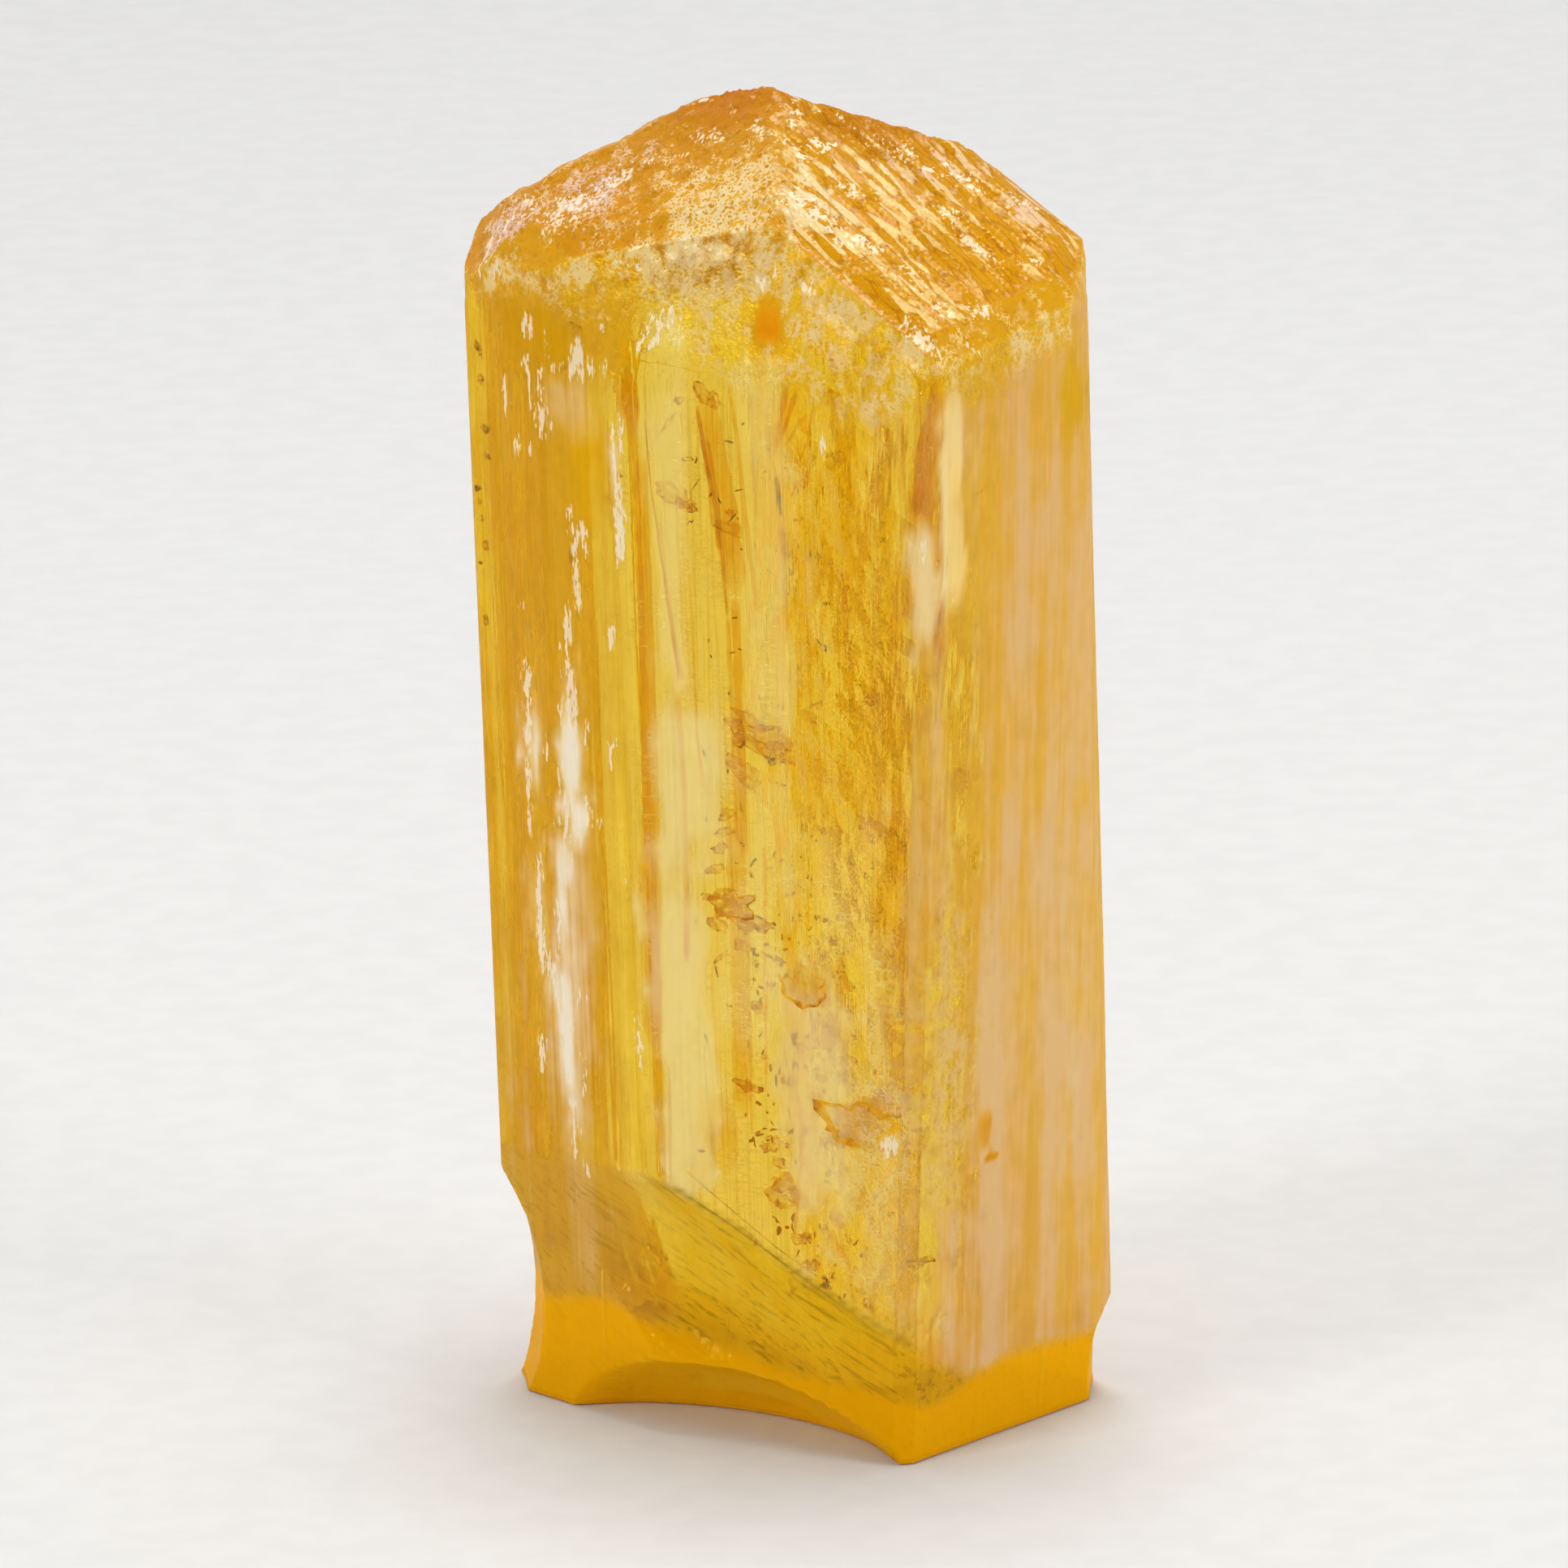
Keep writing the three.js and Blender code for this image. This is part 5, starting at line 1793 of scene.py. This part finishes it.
# the pixel, mm past the skin, half length and half width in mm, lean in degrees, rust, how solid
FLAKE_ROWS = (
    (928, 888, 1.1, 0.43, 0.16, -25, 0.7, 0.85), (950, 905, 1.2, 0.54, 0.18, -15, 0.48, 0.95),
    (938, 921, 1.3, 0.47, 0.16, -30, 0.64, 0.9), (951, 937, 1.1, 0.11, 0.06, -30, 1.0, 1.0),
    (905, 893, 1.3, 0.14, 0.25, 70, 0.72, 0.8), (922, 955, 1.5, 0.39, 0.22, -40, 0.56, 0.6),
    (909, 912, 1.2, 0.16, 0.11, 20, 0.76, 0.8), (965, 925, 1.25, 0.32, 0.11, -35, 0.6, 0.9),
    (896, 1003, 1.3, 0.22, 0.09, 30, 0.64, 0.8), (893, 1024, 1.35, 0.23, 0.09, 10, 0.6, 0.8),
    (886, 1046, 1.3, 0.18, 0.09, 20, 0.76, 0.8), (882, 1071, 1.3, 0.22, 0.09, 15, 0.6, 0.8),
    (871, 1105, 1.3, 0.13, 0.07, 0, 0.68, 0.8), (900, 1118, 1.4, 0.39, 0.25, -30, 0.54, 0.85),
    (884, 1138, 1.3, 0.14, 0.22, 60, 0.6, 0.8), (920, 1140, 1.35, 0.22, 0.11, -10, 0.56, 0.9),
    (944, 1143, 1.1, 0.18, 0.09, 15, 0.78, 0.95), (915, 1165, 1.4, 0.16, 0.14, 0, 0.6, 0.8),
    (888, 1180, 1.2, 0.22, 0.04, 40, 0.8, 0.8), (952, 1180, 1.1, 0.25, 0.04, -20, 0.76, 0.8),
    (936, 1242, 1.0, 0.14, 0.14, 45, 0.6, 0.95), (938, 1232, 0.95, 0.07, 0.04, 60, 0.88, 0.9),
    (1002, 1213, 2.2, 0.36, 0.39, 20, 0.44, 0.9), (1020, 1262, 2.0, 0.32, 0.18, -10, 0.5, 0.85),
    (1018, 1282, 2.0, 0.25, 0.14, 20, 0.54, 0.85), (987, 1291, 1.4, 0.14, 0.09, 0, 0.58, 0.9),
    (1045, 1210, 2.3, 0.25, 0.14, -30, 0.48, 0.7), (975, 1330, 1.798, 0.18, 0.11, -20, 0.52, 0.7),
    (922, 1337, 1.5, 0.25, 0.13, -15, 0.56, 0.8), (950, 1410, 1.6, 0.22, 0.14, 30, 0.56, 0.8),
    (968, 1458, 1.6, 0.25, 0.18, 20, 0.6, 0.85), (982, 1474, 1.5, 0.27, 0.16, -25, 0.56, 0.85),
    (960, 1432, 1.6, 0.11, 0.18, 70, 0.6, 0.8), (985, 1525, 1.7, 0.22, 0.14, 0, 0.56, 0.8),
    (1000, 1560, 1.6, 0.16, 0.09, 20, 0.6, 0.8), (1048, 1375, 1.8, 0.47, 0.25, -20, 0.56, 0.75),
    (1066, 1398, 1.9, 0.47, 0.29, 10, 0.54, 0.85), (1040, 1403, 1.69, 0.25, 0.18, 30, 0.64, 0.7),
    (1088, 1357, 1.6, 0.22, 0.2, 0, 0.6, 0.9), (1088, 1352, 1.5, 0.16, 0.13, 0, 0.48, 0.9),
    (1075, 1384, 1.5, 0.32, 0.07, -30, 0.76, 0.8), (1020, 1585, 1.0, 0.06, 0.11, 80, 1.0, 1.0),
    (1018, 1578, 1.1, 0.09, 0.09, 0, 0.8, 0.8), (1215, 1390, 0.25, 0.18, 0.13, 0, 0.46, 0.9),
    (1225, 1425, 0.25, 0.16, 0.11, 0, 0.44, 0.9), (1232, 1368, 0.3, 0.13, 0.18, 0, 0.46, 0.6),
    (1195, 1345, 0.4, 0.29, 0.22, -30, 0.32, 0.6), (1025, 495, 1.0, 0.14, 0.14, 0, 0.54, 0.85),
    (1030, 565, 1.0, 0.11, 0.13, 0, 0.58, 0.85), (990, 641, 0.8, 0.07, 0.07, 0, 0.6, 0.95),
    (866, 484, 1.6, 0.16, 0.23, 60, 0.5, 0.7), (880, 497, 1.6, 0.13, 0.16, 30, 0.54, 0.6),
    (833, 608, 1.5, 0.39, 0.22, -20, 0.54, 0.6), (842, 622, 1.4, 0.22, 0.11, -20, 0.68, 0.8),
    (848, 566, 1.0, 0.14, 0.04, 5, 0.88, 0.85), (837, 494, 0.9, 0.11, 0.07, 20, 0.88, 0.8),
    (824, 520, 1.0, 0.25, 0.04, 55, 0.68, 0.6), (900, 650, 1.6, 0.13, 0.36, 80, 0.6, 0.5),
    (903, 632, 1.5, 0.07, 0.14, 85, 0.64, 0.8), (1085, 864, 1.2, 0.29, 0.11, -25, 0.7, 0.55),
    (1120, 758, 1.2, 0.22, 0.14, 20, 0.68, 0.45), (1062, 880, 1.2, 0.14, 0.36, 65, 0.64, 0.35),
    (1090, 1018, 1.0, 0.25, 0.09, -35, 0.74, 0.8), (1068, 1012, 1.1, 0.22, 0.11, 10, 0.68, 0.7),
    (1108, 1040, 1.0, 0.18, 0.07, -50, 0.76, 0.8), (1035, 1036, 1.0, 0.09, 0.07, 30, 0.8, 0.7),
    (1078, 1028, 1.1, 0.13, 0.16, 40, 0.64, 0.6), (1122, 1085, 1.1, 0.36, 0.07, -50, 0.6, 0.6),
    (1010, 870, 1.0, 0.18, 0.05, 25, 0.68, 0.7), (1000, 885, 1.1, 0.22, 0.14, 20, 0.56, 0.6),
    (1157, 885, 0.8, 0.16, 0.3, 85, 0.36, 0.8), (1172, 968, 0.9, 0.25, 0.39, 75, 0.26, 0.75),
    (1190, 955, 0.9, 0.22, 0.32, 70, 0.28, 0.7), (1155, 930, 0.8, 0.18, 0.11, 0, 0.2, 0.5),
    (1160, 1010, 0.9, 0.14, 0.29, 75, 0.3, 0.7), (1028, 1030, 2.0, 0.22, 0.16, 0, 0.48, 0.5),
    (1000, 1000, 2.2, 0.22, 0.14, 10, 0.44, 0.5), (1140, 1250, 1.2, 0.25, 0.16, -20, 0.44, 0.7),
    (1160, 1275, 1.2, 0.29, 0.22, 10, 0.4, 0.7), (1178, 1248, 1.0, 0.22, 0.07, 30, 0.48, 0.7),
    (1150, 1310, 1.3, 0.22, 0.25, 0, 0.42, 0.6), (1185, 1285, 1.0, 0.25, 0.14, -10, 0.44, 0.6),
    (1130, 1180, 1.4, 0.22, 0.16, 30, 0.44, 0.6), (1115, 1345, 1.6, 0.18, 0.14, 0, 0.48, 0.6),
    (995, 1395, 1.7, 0.18, 0.09, 20, 0.52, 0.7), (1010, 1345, 1.9, 0.14, 0.09, 0, 0.52, 0.6),
    (1035, 1330, 2.0, 0.18, 0.09, 0, 0.5, 0.5), (1160, 1440, 0.6, 0.14, 0.07, 10, 0.44, 0.6),
    (1105, 1480, 1.3, 0.13, 0.13, 0, 0.44, 0.5), (1060, 1480, 1.7, 0.16, 0.11, 20, 0.52, 0.6),
    (1035, 1500, 1.6, 0.14, 0.14, 0, 0.54, 0.6), (940, 1300, 1.5, 0.11, 0.07, 0, 0.6, 0.7),
    (590, 430, 0.1, 0.07, 0.05, 0, 0.92, 0.95), (592, 438, 0.1, 0.09, 0.04, -40, 0.88, 0.9),
    (593, 470, 0.1, 0.09, 0.07, 0, 0.64, 0.8), (598, 530, 0.1, 0.09, 0.07, 0, 0.88, 0.9),
    (601, 563, 0.1, 0.07, 0.05, 0, 0.92, 0.9), (588, 602, 0.08, 0.07, 0.07, 0, 0.98, 1.0),
    (590, 617, 0.1, 0.09, 0.07, 0, 0.68, 0.85), (599, 672, 0.1, 0.09, 0.11, 0, 0.66, 0.85),
    (595, 705, 0.1, 0.05, 0.04, 0, 0.96, 0.9), (599, 765, 0.1, 0.07, 0.07, 0, 0.84, 0.9),
    (606, 365, 0.15, 0.14, 0.05, 20, 0.68, 0.8), (741, 600, 0.2, 0.04, 0.04, 0, 1.0, 1.0),
    (760, 583, 0.15, 0.05, 0.13, 70, 0.64, 0.9), (750, 616, 0.3, 0.14, 0.09, 30, 0.6, 0.7),
    (737, 357, 0.2, 0.05, 0.05, 0, 0.76, 0.8), (746, 351, 0.2, 0.04, 0.04, 0, 0.76, 0.8),
    (724, 365, 0.2, 0.04, 0.04, 0, 0.84, 0.8), (945, 408, 0.7, 0.36, 0.39, 20, 0.54, 0.85),
    (956, 398, 0.7, 0.22, 0.25, 0, 0.49, 0.8), (938, 392, 0.6, 0.25, 0.09, 60, 0.56, 0.8),
    (980, 336, 0.4, 0.16, 0.14, 0, 0.56, 0.85), (965, 275, 0.2, 0.16, 0.07, 0, 0.68, 0.8),
    (967, 226, 0.1, 0.14, 0.07, 30, 0.8, 0.8), (880, 430, 0.8, 0.14, 0.09, 0, 0.52, 0.6),
    (795, 432, 0.3, 0.07, 0.05, 0, 0.6, 0.8), (598, 528, 0.12, 0.05, 0.07, 20, 1.0, 1.0),
    (589, 600, 0.12, 0.05, 0.05, 0, 1.0, 1.0), (594, 638, 0.12, 0.04, 0.06, 0, 1.0, 1.0),
    (592, 693, 0.12, 0.05, 0.04, 0, 0.96, 1.0), (598, 760, 0.12, 0.06, 0.05, 40, 1.0, 1.0),
    (601, 764, 0.12, 0.03, 0.04, 0, 0.96, 1.0), (1016, 1581, 0.15, 0.09, 0.12, 0, 1.0, 1.0),
    (693, 455, 0.12, 0.16, 0.06, 30, 0.8, 1.0), (704, 682, 0.12, 0.06, 0.16, -10, 0.92, 1.0),
    (710, 408, 0.12, 0.21, 0.14, 0, 0.84, 0.6), (588, 426, 0.12, 0.09, 0.1, 0, 0.96, 0.8),
    (592, 465, 0.12, 0.12, 0.06, 0, 0.92, 0.7), (597, 527, 0.12, 0.12, 0.06, 0, 0.96, 0.9),
    (600, 561, 0.12, 0.09, 0.06, 0, 0.96, 0.8), (588, 601, 0.12, 0.09, 0.06, 0, 0.98, 1.0),
    (994, 1214, 0.16, 0.48, 0.39, 0, 0.5, 0.6), (1055, 1387, 0.16, 0.76, 0.5, 0, 0.49, 0.65),
    (1088, 1358, 0.16, 0.38, 0.27, 0, 0.52, 0.6), (968, 1465, 0.16, 0.38, 0.39, 10, 0.52, 0.6),
    (1178, 1545, 0.16, 0.54, 0.09, 15, 0.68, 1.0), (1140, 1552, 0.16, 0.34, 0.05, 5, 0.88, 1.0),
    (905, 1115, 0.16, 0.52, 0.36, 20, 0.56, 0.8), (930, 1137, 0.16, 0.4, 0.12, 10, 0.72, 0.9),
)
RUSTY_FLAKES = tuple(
    Flake(SIGHT.place(x, y, depth), *rest) for x, y, depth, *rest in FLAKE_ROWS
)


# ---------------- the crystal


@dataclass
class Crystal:
    """The crystal itself, one piece."""

    surface: TracedSurface = field(default_factory=TracedSurface)
    relief: Relief = field(default_factory=Relief)
    weathering: Weathering = field(default_factory=Weathering)
    finish: TopazFinish = field(default_factory=TopazFinish)
    cap_floor: float = 20.0
    sunk: float = 0.02

    def build(self) -> bpy.types.Object:
        """Traces, carves, dresses and places the crystal. Returns: its object."""
        self.surface.trace()
        mesh = self.surface.to_mesh("crystal")
        self._carve(mesh)
        piece = bpy.data.objects.new("crystal", mesh)
        bpy.context.scene.collection.objects.link(piece)
        mesh.materials.append(self.finish.build())
        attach(piece, BODY)
        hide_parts(NODE)
        return piece

    def _carve(self, mesh: bpy.types.Mesh) -> None:
        """Moves the points by the relief and stores the skin. Args: mesh: the traced mesh."""
        count = len(mesh.vertices)
        places = np.zeros(count * 3)
        mesh.vertices.foreach_get("co", places)
        places = places.reshape(-1, 3) / MM
        normals = np.zeros(count * 3, np.float32)
        mesh.vertex_normals.foreach_get("vector", normals)
        normals = normals.reshape(-1, 3).astype(float)
        rows, columns = self.surface.wall_rows, self.surface.columns
        wall = np.arange(count) < rows * columns
        top = places[:, 2] > self.cap_floor
        cap = ~wall & top
        lift = np.zeros(count)
        azimuth = np.degrees(np.arctan2(normals[:, 0], -normals[:, 1]))
        high = places[wall]
        rim = np.tile(places[(rows - 1) * columns : rows * columns, 2], rows)
        under_rim = smooth_step(0.0, 0.5, rim - high[:, 2])
        upright = smooth_step(0.35, 0.15, np.abs(normals[wall, 2]))
        off_floor = smooth_step(0.0, 0.4, high[:, 2])
        striae = self.relief.striae.height(high, azimuth[wall])
        crumbly = grain_at(high, (1.3, 1.3, 1.3), 5) * self.relief.crumbled_depth
        crumbly *= smooth_step(24.5, 25.8, high[:, 2]) * smooth_step(0.0, 0.12, rim - high[:, 2])
        lift[wall] = striae * under_rim * upright * off_floor + crumbly
        carved, share, raised = self.relief.roof(places[cap])
        inset = smooth_step(0.02, 0.35, self._from_rim(places[cap]))
        lift[cap] = carved * inset
        ridged, crest = np.zeros(count), np.full(count, 0.5)
        ridged[cap], crest[cap] = share, raised
        roofed = np.maximum(cap, top * smooth_step(0.3, 0.5, normals[:, 2]))
        skins = self.weathering.map(places, azimuth, roofed, ridged)
        skins.update(ridged=ridged[:, None], crest=crest[:, None])
        for name, values in skins.items():
            self._store(mesh, name, values)
        moved = places + normals * (lift - self.sunk * (lift != 0))[:, None]
        mesh.vertices.foreach_set("co", (moved * MM).ravel())
        flat = np.zeros(len(mesh.polygons), bool)
        flat[: (rows - 1) * columns] = True
        mesh.polygons.foreach_set("use_smooth", flat)
        mesh.update()

    @staticmethod
    def _store(mesh: bpy.types.Mesh, name: str, values: np.ndarray) -> None:
        """Stores a point attribute. Args: name: its name. values: one or three numbers a point."""
        if values.shape[1] == 1:
            attribute = mesh.attributes.new(name, "FLOAT", "POINT")
            attribute.data.foreach_set("value", values.astype(np.float32).ravel())
            return
        attribute = mesh.attributes.new(name, "FLOAT_COLOR", "POINT")
        full = np.concatenate([values, np.ones((len(values), 1))], 1)
        attribute.data.foreach_set("color", full.astype(np.float32).ravel())

    def _from_rim(self, places: np.ndarray) -> np.ndarray:
        """How far inside the rim places lie. Args: places: points. Returns: mm in plan."""
        rows, n = self.surface.wall_rows, self.surface.columns
        rim = self.surface.points[(rows - 1) * n : rows * n]
        radius = np.hypot(rim[:, 0], rim[:, 1])
        angle = np.arctan2(rim[:, 1], rim[:, 0])
        order = np.argsort(angle)
        here = np.arctan2(places[:, 1], places[:, 0])
        edge = np.interp(here, angle[order], radius[order], period=2 * np.pi)
        return edge - np.hypot(places[:, 0], places[:, 1])


@dataclass(frozen=True)
class SealedThings:
    """The cracks, flakes and grains that are sealed in the crystal."""

    seams: tuple[Seam, ...] = HEALED_SEAMS
    flakes: tuple[Flake, ...] = RUSTY_FLAKES
    grains: tuple[GrainScatter, ...] = (
        GrainScatter(
            "golden_chips", 260, 5, 0.1, (1.3, 0.7, 0.3), (0.3, 0.2, 0.06),
            ((0.9, 4.9), (0.3, 3.2), (3.4, 13.6)),
        ),
        GrainScatter(
            "dark_needles", 90, 8, 0.05, (3.5, 0.6, 0.4), (0.8, 0.3, 0.2),
            ((-0.6, 4.9), (0.3, 3.5), (6.0, 23.0)),
        ),
    )

    def build(self) -> list[bpy.types.Object]:
        """Makes them all. Returns: the pieces."""
        seam_sheets, flake_sheets = ThinSheets(), ThinSheets()
        for seam in self.seams:
            seam.draw(seam_sheets)
        for flake in self.flakes:
            flake.draw(flake_sheets)
        stain = RustFinish("seam_stain", 0.12, 0.9, (0.05, 0.05, 0.7)).build()
        rust = RustFinish("flake_rust", 0.6, 1.1, (0.07, 0.07, 0.09)).build()
        chip = GrainFinish("golden_chip", (0.97, 0.7, 0.12), (0.8, 0.44, 0.02)).build()
        needle = GrainFinish("dark_needle", (0.55, 0.36, 0.04), (0.16, 0.11, 0.03)).build()
        return [
            seam_sheets.build("healed_seams", stain),
            flake_sheets.build("rusty_flakes", rust),
            self.grains[0].build(chip),
            self.grains[1].build(needle),
        ]


def main() -> None:
    """Builds the scene in order and reports each piece."""
    logging.basicConfig(level=logging.INFO, format="%(message)s")
    Viewpoint().build()
    Studio().build()
    for piece in [Crystal().build(), *SealedThings().build()]:
        log.info("%s: %d faces", piece.name, len(piece.data.polygons))


if __name__ == "__main__":
    main()
